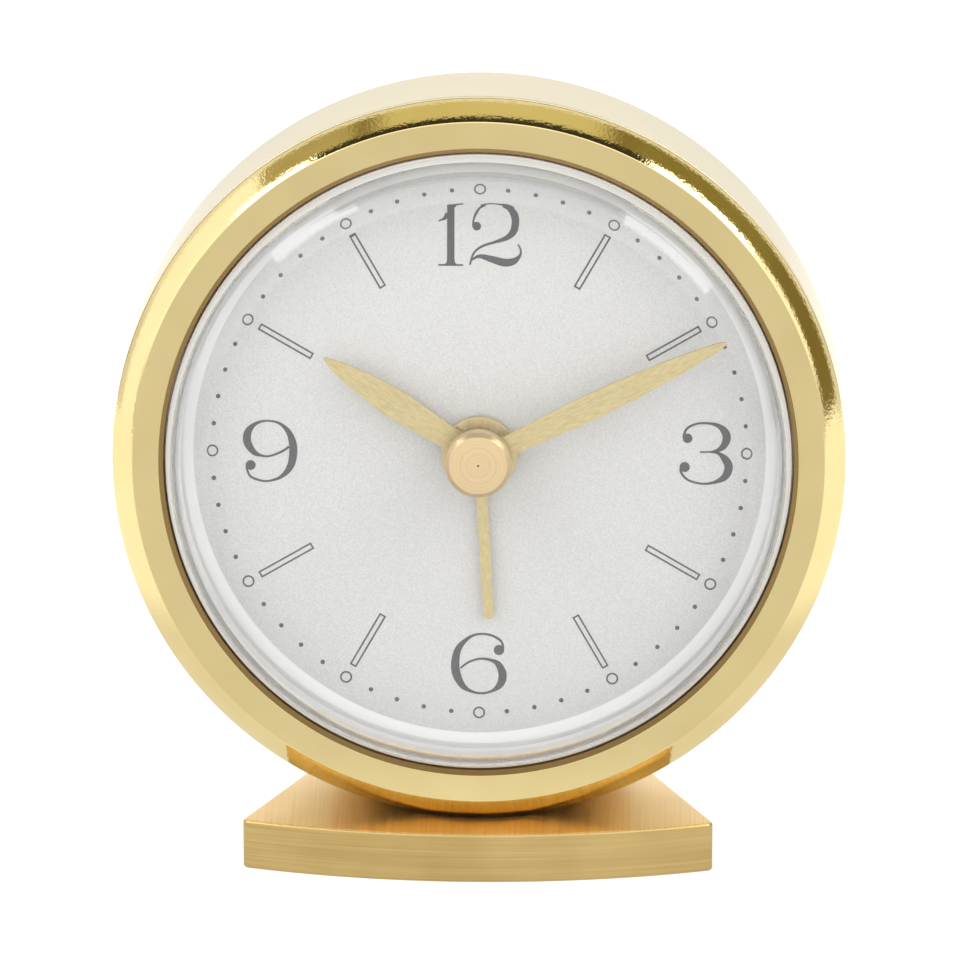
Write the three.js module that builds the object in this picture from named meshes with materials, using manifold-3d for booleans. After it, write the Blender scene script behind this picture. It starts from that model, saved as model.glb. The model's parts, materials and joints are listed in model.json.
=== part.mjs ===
// Miniature alarm clock: a gold drum that leans back on a flat foot, with a raised clear
// crystal, three hands and a battery movement inside. Millimetres, +Z up, dial towards -Y.
// The origin is the middle of the foot's underside.

import * as THREE from 'three';
import { mergeVertices } from 'three/addons/utils/BufferGeometryUtils.js';
import Module from 'manifold-3d';

const wasm = await Module();
wasm.setup();

// Gaps between neighbours
const SEAT_GAP = 0.3; // to the face that a piece seats on
const RUN_GAP = 0.15; // round a shaft that turns
const PRESS_GAP = 0.1; // round a shaft that a piece is pushed on to
const OVERCUT = 1; // of a cut, past the faces that it goes through

// Drum, with its rear rim at height 0 along the drum's axis
const LEAN_DEG = 5;
const DRUM_RADIUS = 30;
const DRUM_LENGTH = 11.9;
const DRUM_WALL = 1.4;
const DRUM_EDGE = 0.3;
const SHOULDER_WIDTH = 1.8;
const SHOULDER_LENGTH = 3.3;
const SHOULDER_TOP = 6.9;

// Bezel
const BEZEL_LAND = 0.4;
const BEZEL_CHAMFER_WIDTH = 1.7;
const BEZEL_CHAMFER_DEPTH = 2;
const BEZEL_FACE_WIDTH = 2.55;
const BEZEL_BEVEL = 0.25;
const BEZEL_SLEEVE_WALL = 0.8;

// Crystal
const CRYSTAL_WALL = 1.6;
const CRYSTAL_RISE = 2.7; // above the bezel's face
const CRYSTAL_SHOULDER = 2.2; // outer rounding
const CRYSTAL_INNER_ROUND = 0.8;
const CRYSTAL_FLANGE_WIDTH = 1.5;
const CRYSTAL_FLANGE_DEPTH = 1.2;

// Dial and plates
const DIAL_THICKNESS = 0.7;
const DIAL_HOLE = 2.9;
const PLATE_THICKNESS = 1.2;
const BACK_PLATE_THICKNESS = 1;
const BACK_PLATE_EASE = 0.4; // more room inside the rear cover's spigot
const TRAIN_CLEARANCE = 0.2; // more room under the lowest wheel
const PILLAR_RADIUS = 1.8;
const PILLAR_INSET = 2.6; // of a pillar's axis inside the back plate's edge
const PILLAR_ANGLES = [25, 180, 270];

// Hands, by their length from the axis and their place at rest, clockwise from twelve.
// The minute hand's length comes from the crystal that it turns in.
const HOUR_HAND = { length: 15.1, width: 2.1, neck: 1.8, hub: 2.3, degrees: 300.6 };
const MINUTE_HAND = { width: 2.2, neck: 1.8, hub: 2.47, degrees: 66 };
const MINUTE_TIP_GAP = 1.6; // from the minute hand's tip to the crystal's wall
const ALARM_HAND = { length: 13.9, width: 0.94, tip: 0.86, hub: 3.14, degrees: 176.6 };
const LEAF_BELLY = 1.12; // pull of a blade's sides, in its widths
const LEAF_TIP = 0.12; // width of a blade's tip
const HAND_THICKNESS = 0.35;
const HUB_THICKNESS = 0.6;
const ALARM_HAND_RISE = 0.4; // above the dial
const HAND_PITCH = 1.2; // from one hand's hub to the next
const CAP_RADIUS = 2.7;
const CAP_HEIGHT = 1.9;
const CAP_CHAMFER = 0.34;
const CAP_WALL = 0.7;

// Centre shafts
const MINUTE_SHAFT = 0.75;
const HOUR_PIPE = { bore: 1, radius: 1.5 };
const ALARM_PIPE = { bore: 1.8, radius: 2.4 };

// Gear teeth: involute flanks, with the same form on every wheel
const PRESSURE = THREE.MathUtils.degToRad(30);
const ADDENDUM = 0.8;
const DEDENDUM = 1.05;
const TOOTH_EASE = 0.05; // taken off each tooth for backlash
const PINION_LIMIT = 16; // fewer teeth than this get a bend in the flank
const GEAR_THICKNESS = 0.8;
const LAYER_PITCH = 1.1;
const LAYERS = 5;
const ARBOR = 0.45;
const PIVOT = 0.3;
const STEM = 1;

// Motion work: minute shaft to hour pipe is twelve to one
const CANNON_TEETH = 8;
const MINUTE_WHEEL_TEETH = 24;
const MINUTE_PINION_TEETH = 7;
const HOUR_WHEEL_TEETH = 28;
const SETTING_TEETH = 8;
const MOTION_MODULE = 0.6;
const MINUTE_WHEEL_DEG = 180;
const TIME_STEM_DEG = 130;
const ALARM_WHEEL_TEETH = 24;
const ALARM_MODULE = 0.65;
const ALARM_STEM_DEG = 20;

// Going train: the rotor makes thirty turns a minute and the centre wheel one an hour
const PINION_TEETH = 7;
const CENTRE_WHEEL_TEETH = 60;
const THIRD_WHEEL_TEETH = 49;
const SECONDS_WHEEL_TEETH = 35;
const INTERMEDIATE_WHEEL_TEETH = 42;
const TRAIN_MODULE = 0.26;
const ROTOR_MODULE = 0.2;
const THIRD_DEG = 90;
const SECONDS_DEG = 120;
const INTERMEDIATE_DEG = 30;
const ROTOR_DEG = -30;

// Step motor
const MAGNET_RADIUS = 1.5;
const STATOR_THICKNESS = 0.7;
const STATOR_LIFT = 0.1; // above the magnet's lower end
const STATOR_DEG = 45;
const STATOR_HALF_WIDTH = 2.2;
const STATOR_AIR_GAP = 0.4;
const COIL_RADIUS = 2.2;
const COIL_LENGTH = 8;
const COIL_START = -1; // along the stator, from the rotor
const COIL_OFFSET = 5.5; // from the rotor, across the stator
const CORE_RADIUS = 0.8;
const CORE_OVERHANG = 1.3;
const ARM_WIDTH = 1.3;

// Rear cover and what is worked from behind
const COVER_THICKNESS = 1.5;
const COVER_INSET = 0.6; // of the cover's edge inside the drum's
const COVER_SPIGOT_WALL = 1.4;
const COVER_SPIGOT_LENGTH = 2;
const KNOB_RADIUS = 4;
const KNOB_HEIGHT = 2.8;
const KNOB_RIDGES = 18;
const KNOB_RIDGE_DEPTH = 0.25;
const SLIDE_TRAVEL = 3.4;
const SLIDE_PLACE = [17, 0];
const SLIDE_TAB = { width: 2, length: 3, rise: 1.1 };
const SLIDE_FOOT = { width: 5, length: 5.5 };

// Battery: a common 11.6 by 5.4 button cell behind a coin-slotted door
const CELL_RADIUS = 5.8;
const CELL_HEIGHT = 5.4;
const CELL_CRIMP = { height: 0.6, width: 0.5, step: 0.3, rim: 0.9 };
const CELL_CIRCLE = 16.2;
const CELL_DEG = -60;
const DOOR_RADIUS = 6.6;
const DOOR_RIM = 0.5; // of the door inside the cover
const DOOR_LUG = 1;
const DOOR_LUG_THICKNESS = 0.4;
const DOOR_LUG_HALF_DEG = 20;
const DOOR_NOTCH_DEG = -60; // where the lugs pass out, once the door is turned back
const DOOR_NOTCH_EASE_DEG = 2;
const COIN_SLOT = { width: 1.4, length: 9, depth: 0.8 };
const CONTACT_THICKNESS = 0.4;
const CONTACT_WIDTH = 2.4;
const POSITIVE_DEG = 20;
const NEGATIVE_DEG = 55;
const CONTACT_FOOT = 4.4;
const CONTACT_TOP_DROP = 1; // of the positive contact below the cell's front
const NEGATIVE_FOOT = 3.1;
const NEGATIVE_REACH = 1.9; // past the cell's axis

// Circuit and buzzer
const BOARD_THICKNESS = 0.8;
const BOARD_LEFT = 12.8;
const BOARD_RIGHT = 22;
const BOARD_TOP = 6.3;
const BOARD_BOTTOM = -11.5;
const BOARD_CUT = [3.7, 3];
const BOARD_INSET = 0.6; // of its outer corners inside the back plate's edge
const CAN = { radius: 1, length: 6, place: [19.8, -5] };
const CHIP = { radius: 2, shoulder: 1.5, rise: 0.63, height: 0.9, place: [16, -5] };
const BUZZER = { radius: 6, height: 5, hole: 0.9, holeDepth: 1, circle: 17, degrees: -118 };
const SOUND_SLOTS = 5;
const SOUND_SLOT = { width: 1, length: 8, pitch: 2 };

// Foot
const BASE_WIDTH = 39;
const BASE_BOW = 3.4;
const BASE_DEPTH = 22.4;
const BASE_HEIGHT = 4.16;
const BASE_SIDE_DEG = 21.7;
const BASE_EDGE = 0.25;
const DRUM_SETBACK = 4.84; // of the bezel's lowest point behind the foot's front
const BASE_SCREW = { spread: 4.5, radius: 1.25, head: 2.3, headHeight: 1.2, recess: 0.4, grip: 2.2 };
const PLATE_SCREW = { radius: 0.7, head: 1.3, headHeight: 0.5, length: 4 };

// Facets round a circle
const ROUND = 40;
const HUB = 16;
const PIN = 8;
const BOW_STEPS = 18; // along the foot's front
const BLADE_STEPS = 8; // along a blade's side
const TIP_STEPS = 6; // round the alarm hand's tip
const END_STEPS = 4; // round a slot's end or a lug

const TAU = 2 * Math.PI;
const rad = THREE.MathUtils.degToRad;

// Heights along the drum's axis
const bezelBack = DRUM_LENGTH + SEAT_GAP;
const bezelEdge = bezelBack + BEZEL_LAND;
const bezelFace = bezelEdge + BEZEL_CHAMFER_DEPTH;
const plateBack = SHOULDER_TOP + SEAT_GAP;
const plateFront = plateBack + PLATE_THICKNESS;
const dialBack = plateFront + SEAT_GAP;
const dialFront = dialBack + DIAL_THICKNESS;
const crystalBack = dialFront + SEAT_GAP;
const crystalTop = bezelFace + CRYSTAL_RISE;
const alarmHub = dialFront + ALARM_HAND_RISE;
const hourHub = alarmHub + HAND_PITCH;
const minuteHub = hourHub + HAND_PITCH;
const capBack = minuteHub + HUB_THICKNESS + SEAT_GAP;
const capFront = capBack + CAP_HEIGHT;
const coverFront = -SEAT_GAP;
const coverBack = coverFront - COVER_THICKNESS;
const layer = (n) => plateBack - SEAT_GAP - GEAR_THICKNESS - (LAYERS - n) * LAYER_PITCH;
const backPlateFront = layer(1) - SEAT_GAP - TRAIN_CLEARANCE;
const backPlateBack = backPlateFront - BACK_PLATE_THICKNESS;
const boardBack = backPlateFront + SEAT_GAP;
const boardFront = boardBack + BOARD_THICKNESS;

// Radii across the drum's axis
const drumBore = DRUM_RADIUS - DRUM_WALL;
const seatRadius = drumBore - SEAT_GAP;
const bezelBore = DRUM_RADIUS - BEZEL_CHAMFER_WIDTH - BEZEL_FACE_WIDTH;
const crystalRadius = bezelBore - RUN_GAP;
const crystalInner = crystalRadius - CRYSTAL_WALL;
const minuteHandLength = crystalInner - MINUTE_TIP_GAP;
const backPlateRadius = seatRadius - COVER_SPIGOT_WALL - SEAT_GAP - BACK_PLATE_EASE;
const pillarCircle = backPlateRadius - PILLAR_INSET;
const doorOuter = DOOR_RADIUS + DOOR_LUG;

// Places of the arbors, seen from the front
const polar = ([x, y], distance, degrees) => [
  x + distance * Math.cos(rad(degrees)),
  y + distance * Math.sin(rad(degrees)),
];
const meshDistance = (first, second, module) => ((first + second) * module) / 2;
const centre = [0, 0];
const motionDistance = meshDistance(CANNON_TEETH, MINUTE_WHEEL_TEETH, MOTION_MODULE);
const hourModule = (2 * motionDistance) / (MINUTE_PINION_TEETH + HOUR_WHEEL_TEETH);
const minuteWheelPlace = polar(centre, motionDistance, MINUTE_WHEEL_DEG);
const timeStemPlace = polar(
  minuteWheelPlace,
  meshDistance(MINUTE_WHEEL_TEETH, SETTING_TEETH, MOTION_MODULE),
  TIME_STEM_DEG,
);
const alarmStemPlace = polar(
  centre,
  meshDistance(ALARM_WHEEL_TEETH, SETTING_TEETH, ALARM_MODULE),
  ALARM_STEM_DEG,
);
const thirdPlace = polar(centre, meshDistance(CENTRE_WHEEL_TEETH, PINION_TEETH, TRAIN_MODULE), THIRD_DEG);
const secondsPlace = polar(
  thirdPlace,
  meshDistance(THIRD_WHEEL_TEETH, PINION_TEETH, TRAIN_MODULE),
  SECONDS_DEG,
);
const intermediatePlace = polar(
  secondsPlace,
  meshDistance(SECONDS_WHEEL_TEETH, PINION_TEETH, TRAIN_MODULE),
  INTERMEDIATE_DEG,
);
const rotorPlace = polar(
  intermediatePlace,
  meshDistance(INTERMEDIATE_WHEEL_TEETH, PINION_TEETH, ROTOR_MODULE),
  ROTOR_DEG,
);
const cellPlace = polar(centre, CELL_CIRCLE, CELL_DEG);
const buzzerPlace = polar(centre, BUZZER.circle, BUZZER.degrees);
const pillarPlaces = PILLAR_ANGLES.map((degrees) => polar(centre, pillarCircle, degrees));
const pivotPlaces = [minuteWheelPlace, thirdPlace, secondsPlace, intermediatePlace, rotorPlace];

// Materials
const finish = (color, roughness, metalness) =>
  new THREE.MeshStandardMaterial({ color, roughness, metalness });
const SATIN_GOLD = () => finish(0xe0cfa4, 0.45, 1);
const POLISHED_GOLD = () => finish(0xd9bd74, 0.12, 1);
const BRUSHED_GOLD = () => finish(0xc9a866, 0.35, 1);
const HAND_GOLD = () => finish(0xdcc58a, 0.4, 1);
const SILVER_DIAL = () => finish(0xe4e3df, 0.55, 0.2);
const CLEAR = () => finish(0xffffff, 0.04, 0);
const BLACK_PLASTIC = () => finish(0x1c1c1e, 0.6, 0);
const WHITE_PLASTIC = () => finish(0xe9e8e2, 0.5, 0);
const BRASS = () => finish(0xb8963f, 0.3, 1);
const STEEL = () => finish(0xb9bcc0, 0.3, 1);
const COPPER = () => finish(0xa9592b, 0.35, 1);
const BOARD_GREEN = () => finish(0x1f5a35, 0.6, 0);

// Closed body from a profile of [radius, height] points that climbs on its outer side
function turned(profile, segments) {
  const points = profile.map(([radius, height]) => new THREE.Vector2(radius, height));
  return new THREE.LatheGeometry(points, segments).rotateX(Math.PI / 2);
}

// The same for a ring, whose profile returns to its first point
const turnedRing = (profile, segments) => turned([...profile, profile[0]], segments);

const cylinder = (radius, low, high, segments) =>
  turned([[0, low], [radius, low], [radius, high], [0, high]], segments);

// Points of an arc, in degrees, ends included
function arc([x, y], radius, from, to, steps) {
  return Array.from({ length: steps + 1 }, (_, i) => {
    const angle = rad(from + ((to - from) * i) / steps);
    return new THREE.Vector2(x + radius * Math.cos(angle), y + radius * Math.sin(angle));
  });
}

const circle = (place, radius, segments) => arc(place, radius, 0, 360, segments).slice(0, -1);

// Slot with round ends along X, or along Y if upright
function slot([x, y], length, width, upright = false) {
  const radius = width / 2;
  const reach = length / 2 - radius;
  return upright
    ? [
        ...arc([x, y + reach], radius, 0, 180, END_STEPS),
        ...arc([x, y - reach], radius, 180, 360, END_STEPS),
      ]
    : [
        ...arc([x + reach, y], radius, -90, 90, END_STEPS),
        ...arc([x - reach, y], radius, 90, 270, END_STEPS),
      ];
}

const rectangle = ([x, y], width, length) =>
  [[-1, -1], [1, -1], [1, 1], [-1, 1]].map(
    ([i, j]) => new THREE.Vector2(x + (i * width) / 2, y + (j * length) / 2),
  );

function outline(points, holes = []) {
  const shape = new THREE.Shape(points);
  shape.holes.push(...holes.map((hole) => new THREE.Path(hole)));
  return shape;
}

const slab = (shape, low, high) =>
  new THREE.ExtrudeGeometry(shape, { depth: high - low, bevelEnabled: false }).translate(0, 0, low);

// Boolean joins and cuts
function toSolid(geometry) {
  const bare = geometry.clone();
  bare.deleteAttribute('normal');
  bare.deleteAttribute('uv');
  const merged = mergeVertices(bare, 1e-4);
  const corners = merged.index.array;
  const kept = [];
  for (let i = 0; i < corners.length; i += 3) {
    const [a, b, c] = corners.slice(i, i + 3);
    if (a !== b && b !== c && c !== a) kept.push(a, b, c);
  }
  return new wasm.Manifold(
    new wasm.Mesh({
      numProp: 3,
      vertProperties: new Float32Array(merged.attributes.position.array),
      triVerts: Uint32Array.from(kept),
    }),
  );
}

function toGeometry(solid) {
  const mesh = solid.getMesh();
  const geometry = new THREE.BufferGeometry();
  geometry.setAttribute('position', new THREE.BufferAttribute(mesh.vertProperties, 3));
  geometry.setIndex(new THREE.BufferAttribute(mesh.triVerts, 1));
  geometry.computeVertexNormals();
  return geometry;
}

const joined = (first, ...others) =>
  toGeometry(others.reduce((solid, other) => solid.add(toSolid(other)), toSolid(first)));

const cut = (first, ...others) =>
  toGeometry(others.reduce((solid, other) => solid.subtract(toSolid(other)), toSolid(first)));

const shared = (first, second) => toGeometry(toSolid(first).intersect(toSolid(second)));

// Gear outline with involute teeth. Phase is the angle of one tooth's middle.
function gearOutline({ teeth, module, phase }) {
  const pitch = (teeth * module) / 2;
  const base = pitch * Math.cos(PRESSURE);
  const involute = (angle) => Math.tan(angle) - angle;
  const half = (radius) =>
    Math.PI / (2 * teeth) +
    involute(PRESSURE) -
    involute(Math.acos(Math.min(1, base / radius))) -
    TOOTH_EASE / (2 * pitch);
  const root = pitch - DEDENDUM * module;
  const tip = pitch + ADDENDUM * module;
  const radii = teeth < PINION_LIMIT ? [root, pitch, tip] : [root, tip];
  const points = [];
  for (let i = 0; i < teeth; i += 1) {
    const middle = phase + (i * TAU) / teeth;
    const rising = radii.map((radius) => [radius, middle - half(radius)]);
    const falling = radii.map((radius) => [radius, middle + half(radius)]).reverse();
    for (const [radius, angle] of [...rising, ...falling]) {
      points.push(new THREE.Vector2(radius * Math.cos(angle), radius * Math.sin(angle)));
    }
  }
  return points;
}

// Phase that puts a wheel's teeth in mesh with a driver's, the wheel lying the given way
function meshPhase(driver, teeth, degrees) {
  const way = rad(degrees);
  const teethPast = ((way - driver.phase) * driver.teeth) / TAU;
  return way + Math.PI - (TAU / teeth) * (0.5 - teethPast);
}

const wheelSlab = (gear, n, holes = []) =>
  slab(outline(gearOutline(gear), holes), layer(n), layer(n) + GEAR_THICKNESS);

// Arbor with a pivot at each end, which run in the two plates
function arbor(radius) {
  const rear = backPlateFront + SEAT_GAP;
  const front = plateBack - SEAT_GAP;
  return turned(
    [
      [0, backPlateBack + SEAT_GAP],
      [PIVOT, backPlateBack + SEAT_GAP],
      [PIVOT, rear],
      [radius, rear],
      [radius, front],
      [PIVOT, front],
      [PIVOT, plateFront - SEAT_GAP],
      [0, plateFront - SEAT_GAP],
    ],
    PIN,
  );
}

// Scene graph: the foot stands on the origin, and the head leans back on it
const clock = new THREE.Group();
const head = new THREE.Group();
const forward = new THREE.Vector3(0, -Math.cos(rad(LEAN_DEG)), Math.sin(rad(LEAN_DEG)));
const upward = new THREE.Vector3(0, Math.sin(rad(LEAN_DEG)), Math.cos(rad(LEAN_DEG)));
head.position
  .set(0, DRUM_SETBACK - BASE_DEPTH / 2, BASE_HEIGHT)
  .addScaledVector(upward, DRUM_RADIUS)
  .addScaledVector(forward, -bezelEdge);
head.rotation.x = rad(90 - LEAN_DEG);
clock.add(head);
head.updateMatrixWorld(true);

function place(group, name, geometry, material, [x, y] = centre, turn = 0) {
  const mesh = new THREE.Mesh(geometry, material());
  mesh.name = name;
  mesh.position.set(x, y, 0);
  mesh.rotation.z = turn;
  group.add(mesh);
}

// Foot, with its saddle for the drum and two screws that hold the drum from below
const screwHeight = SHOULDER_TOP - SHOULDER_LENGTH / 2;
const screwSeat = new THREE.Vector3(0, -DRUM_RADIUS, screwHeight).applyMatrix4(head.matrixWorld);
const screwTop = screwSeat.z + BASE_SCREW.grip;
const screwPlaces = [-1, 1].map((side) => [side * BASE_SCREW.spread, screwSeat.y]);

function baseOutline() {
  const half = BASE_WIDTH / 2;
  const radius = (half ** 2 + BASE_BOW ** 2) / (2 * BASE_BOW);
  const front = -BASE_DEPTH / 2;
  const spread = THREE.MathUtils.radToDeg(Math.asin(half / radius));
  const rearHalf = half - (BASE_DEPTH - BASE_BOW) * Math.tan(rad(BASE_SIDE_DEG));
  return outline([
    ...arc([0, front + radius], radius, -90 - spread, -90 + spread, BOW_STEPS),
    new THREE.Vector2(rearHalf, -front),
    new THREE.Vector2(-rearHalf, -front),
  ]);
}

function baseGeometry() {
  const blank = new THREE.ExtrudeGeometry(baseOutline(), {
    depth: BASE_HEIGHT - 2 * BASE_EDGE,
    bevelThickness: BASE_EDGE,
    bevelSize: BASE_EDGE,
    bevelOffset: -BASE_EDGE,
    bevelSegments: 1,
  }).translate(0, 0, BASE_EDGE);
  const saddle = cylinder(DRUM_RADIUS + SEAT_GAP, -BASE_DEPTH, 2 * BASE_DEPTH, 2 * ROUND);
  saddle.applyMatrix4(head.matrixWorld);
  const holes = screwPlaces.flatMap(([x, y]) => [
    cylinder(BASE_SCREW.radius + SEAT_GAP, -OVERCUT, BASE_HEIGHT + OVERCUT, PIN).translate(x, y, 0),
    cylinder(
      BASE_SCREW.head + SEAT_GAP,
      -OVERCUT,
      BASE_SCREW.recess + BASE_SCREW.headHeight + SEAT_GAP,
      HUB,
    ).translate(x, y, 0),
  ]);
  return cut(blank, saddle, ...holes);
}

function screw({ radius, head: headRadius, headHeight }, low, high) {
  return turned(
    [
      [0, low],
      [headRadius, low],
      [headRadius, low + headHeight],
      [radius, low + headHeight],
      [radius, high],
      [0, high],
    ],
    PIN,
  );
}

place(clock, 'base', baseGeometry(), BRUSHED_GOLD);
['base_screw_left', 'base_screw_right'].forEach((name, i) =>
  place(clock, name, screw(BASE_SCREW, BASE_SCREW.recess, screwTop), STEEL, screwPlaces[i]),
);

// Drum with an inner shoulder for the movement, and its two tapped holes
function drumGeometry() {
  const shoulder = drumBore - SHOULDER_WIDTH;
  const tube = turnedRing(
    [
      [DRUM_RADIUS - DRUM_EDGE, 0],
      [DRUM_RADIUS, DRUM_EDGE],
      [DRUM_RADIUS, DRUM_LENGTH],
      [drumBore, DRUM_LENGTH],
      [drumBore, SHOULDER_TOP],
      [shoulder, SHOULDER_TOP],
      [shoulder, SHOULDER_TOP - SHOULDER_LENGTH],
      [drumBore, SHOULDER_TOP - SHOULDER_LENGTH],
      [drumBore, 0],
    ],
    ROUND,
  );
  const toHead = head.matrixWorld.clone().invert();
  const taps = screwPlaces.map(([x, y]) =>
    cylinder(BASE_SCREW.radius + SEAT_GAP, 0, screwTop + SEAT_GAP, PIN)
      .translate(x, y, 0)
      .applyMatrix4(toHead),
  );
  return cut(tube, ...taps);
}

const bezelGeometry = turnedRing(
  [
    [DRUM_RADIUS, bezelBack],
    [DRUM_RADIUS, bezelEdge],
    [DRUM_RADIUS - BEZEL_CHAMFER_WIDTH, bezelFace],
    [bezelBore + BEZEL_BEVEL, bezelFace],
    [bezelBore, bezelFace - BEZEL_BEVEL],
    [bezelBore, crystalBack + CRYSTAL_FLANGE_DEPTH + SEAT_GAP],
    [seatRadius - BEZEL_SLEEVE_WALL, crystalBack + CRYSTAL_FLANGE_DEPTH + SEAT_GAP],
    [seatRadius - BEZEL_SLEEVE_WALL, crystalBack],
    [seatRadius, crystalBack],
    [seatRadius, bezelBack],
  ],
  ROUND,
);

// Clear cup: its flange is held behind the bezel, and its rounded front stands proud
function crystalGeometry() {
  const ceiling = crystalTop - CRYSTAL_WALL;
  const rounding = (radius, height, round, from, to, steps) =>
    arc([radius - round, height - round], round, from, to, steps).map(({ x, y }) => [x, y]);
  return turned(
    [
      [0, ceiling],
      ...rounding(crystalInner, ceiling, CRYSTAL_INNER_ROUND, 90, 0, 1),
      [crystalInner, crystalBack],
      [crystalRadius + CRYSTAL_FLANGE_WIDTH, crystalBack],
      [crystalRadius + CRYSTAL_FLANGE_WIDTH, crystalBack + CRYSTAL_FLANGE_DEPTH],
      [crystalRadius, crystalBack + CRYSTAL_FLANGE_DEPTH],
      ...rounding(crystalRadius, crystalTop, CRYSTAL_SHOULDER, 0, 90, 3),
      [0, crystalTop],
    ],
    ROUND,
  );
}

const dialOutline = outline(circle(centre, seatRadius, ROUND), [circle(centre, DIAL_HOLE, HUB)]);
place(head, 'drum_case', drumGeometry(), SATIN_GOLD);
place(head, 'bezel', bezelGeometry, POLISHED_GOLD);
place(head, 'crystal', crystalGeometry(), CLEAR);
place(head, 'dial', slab(dialOutline, dialBack, dialFront), SILVER_DIAL);

// Hands and cap
const clockwise = (degrees) => -rad(degrees);

function leafOutline({ length, width, neck }) {
  const side = new THREE.QuadraticBezierCurve(
    new THREE.Vector2(neck / 2, 0),
    new THREE.Vector2(width * LEAF_BELLY - neck / 2, length / 2),
    new THREE.Vector2(LEAF_TIP / 2, length),
  ).getPoints(BLADE_STEPS);
  const other = side.map(({ x, y }) => new THREE.Vector2(-x, y)).reverse();
  return outline([...side, ...other]);
}

function barOutline({ length, width, tip }) {
  return outline([
    new THREE.Vector2(width / 2, 0),
    ...arc([0, length - tip / 2], tip / 2, 0, 180, TIP_STEPS),
    new THREE.Vector2(-width / 2, 0),
  ]);
}

// Blade and hub in one, cut through for the shaft
function handGeometry(bladeOutline, hubRadius, shaft, low) {
  const inset = (HUB_THICKNESS - HAND_THICKNESS) / 2;
  const blade = slab(bladeOutline, low + inset, low + inset + HAND_THICKNESS);
  const hub = cylinder(hubRadius, low, low + HUB_THICKNESS, HUB);
  const bore = cylinder(shaft + PRESS_GAP, low - OVERCUT, low + HUB_THICKNESS + OVERCUT, HUB);
  return toGeometry(toSolid(blade).add(toSolid(hub)).subtract(toSolid(bore)));
}

const addHand = (name, spec, shape, shaft, low) =>
  place(
    head,
    name,
    handGeometry(shape, spec.hub, shaft, low),
    HAND_GOLD,
    centre,
    clockwise(spec.degrees),
  );
addHand('alarm_hand', ALARM_HAND, barOutline(ALARM_HAND), ALARM_PIPE.radius, alarmHub);
addHand('hour_hand', HOUR_HAND, leafOutline(HOUR_HAND), HOUR_PIPE.radius, hourHub);
const minuteBlade = leafOutline({ ...MINUTE_HAND, length: minuteHandLength });
addHand('minute_hand', MINUTE_HAND, minuteBlade, MINUTE_SHAFT, minuteHub);

const capGeometry = turned(
  [
    [0, capFront - CAP_WALL],
    [MINUTE_SHAFT + PRESS_GAP, capFront - CAP_WALL],
    [MINUTE_SHAFT + PRESS_GAP, capBack],
    [CAP_RADIUS, capBack],
    [CAP_RADIUS, capFront - CAP_CHAMFER],
    [CAP_RADIUS - CAP_CHAMFER, capFront],
    [0, capFront],
  ],
  HUB,
);
place(head, 'centre_cap', capGeometry, HAND_GOLD);

// Motion work, in mesh at rest
const cannon = { teeth: CANNON_TEETH, module: MOTION_MODULE, phase: 0 };
const minuteWheel = {
  teeth: MINUTE_WHEEL_TEETH,
  module: MOTION_MODULE,
  phase: meshPhase(cannon, MINUTE_WHEEL_TEETH, MINUTE_WHEEL_DEG),
};
const minutePinion = { teeth: MINUTE_PINION_TEETH, module: hourModule, phase: 0 };
const hourWheel = {
  teeth: HOUR_WHEEL_TEETH,
  module: hourModule,
  phase: meshPhase(minutePinion, HOUR_WHEEL_TEETH, MINUTE_WHEEL_DEG + 180),
};
const timePinion = {
  teeth: SETTING_TEETH,
  module: MOTION_MODULE,
  phase: meshPhase(minuteWheel, SETTING_TEETH, TIME_STEM_DEG),
};
const alarmWheel = { teeth: ALARM_WHEEL_TEETH, module: ALARM_MODULE, phase: 0 };
const alarmPinion = {
  teeth: SETTING_TEETH,
  module: ALARM_MODULE,
  phase: meshPhase(alarmWheel, SETTING_TEETH, ALARM_STEM_DEG),
};

const CANNON_LAYER = 3;
const HOUR_LAYER = 4;
const ALARM_LAYER = 5;
const minuteShaft = turned(
  [
    [0, backPlateBack + SEAT_GAP],
    [PIVOT, backPlateBack + SEAT_GAP],
    [PIVOT, backPlateFront + SEAT_GAP],
    [MINUTE_SHAFT, backPlateFront + SEAT_GAP],
    [MINUTE_SHAFT, capFront - CAP_WALL - SEAT_GAP],
    [0, capFront - CAP_WALL - SEAT_GAP],
  ],
  HUB,
);
place(head, 'minute_arbor', joined(minuteShaft, wheelSlab(cannon, CANNON_LAYER)), BRASS);

// Toothed wheel with a pipe that carries a hand
function pipeWheel(gear, n, { bore, radius }, high) {
  const wheel = wheelSlab(gear, n, [circle(centre, bore, HUB)]);
  const pipe = slab(
    outline(circle(centre, radius, HUB), [circle(centre, bore, HUB)]),
    layer(n) + GEAR_THICKNESS / 2,
    high,
  );
  return joined(wheel, pipe);
}
place(
  head,
  'hour_wheel',
  pipeWheel(hourWheel, HOUR_LAYER, HOUR_PIPE, hourHub + HUB_THICKNESS),
  WHITE_PLASTIC,
);
place(
  head,
  'alarm_wheel',
  pipeWheel(alarmWheel, ALARM_LAYER, ALARM_PIPE, alarmHub + HUB_THICKNESS),
  WHITE_PLASTIC,
);

// Wheel and pinion moulded on one arbor
const compound = (...slabs) => joined(arbor(ARBOR), ...slabs);
place(
  head,
  'minute_wheel',
  compound(wheelSlab(minuteWheel, CANNON_LAYER), wheelSlab(minutePinion, HOUR_LAYER)),
  WHITE_PLASTIC,
  minuteWheelPlace,
);

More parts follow.
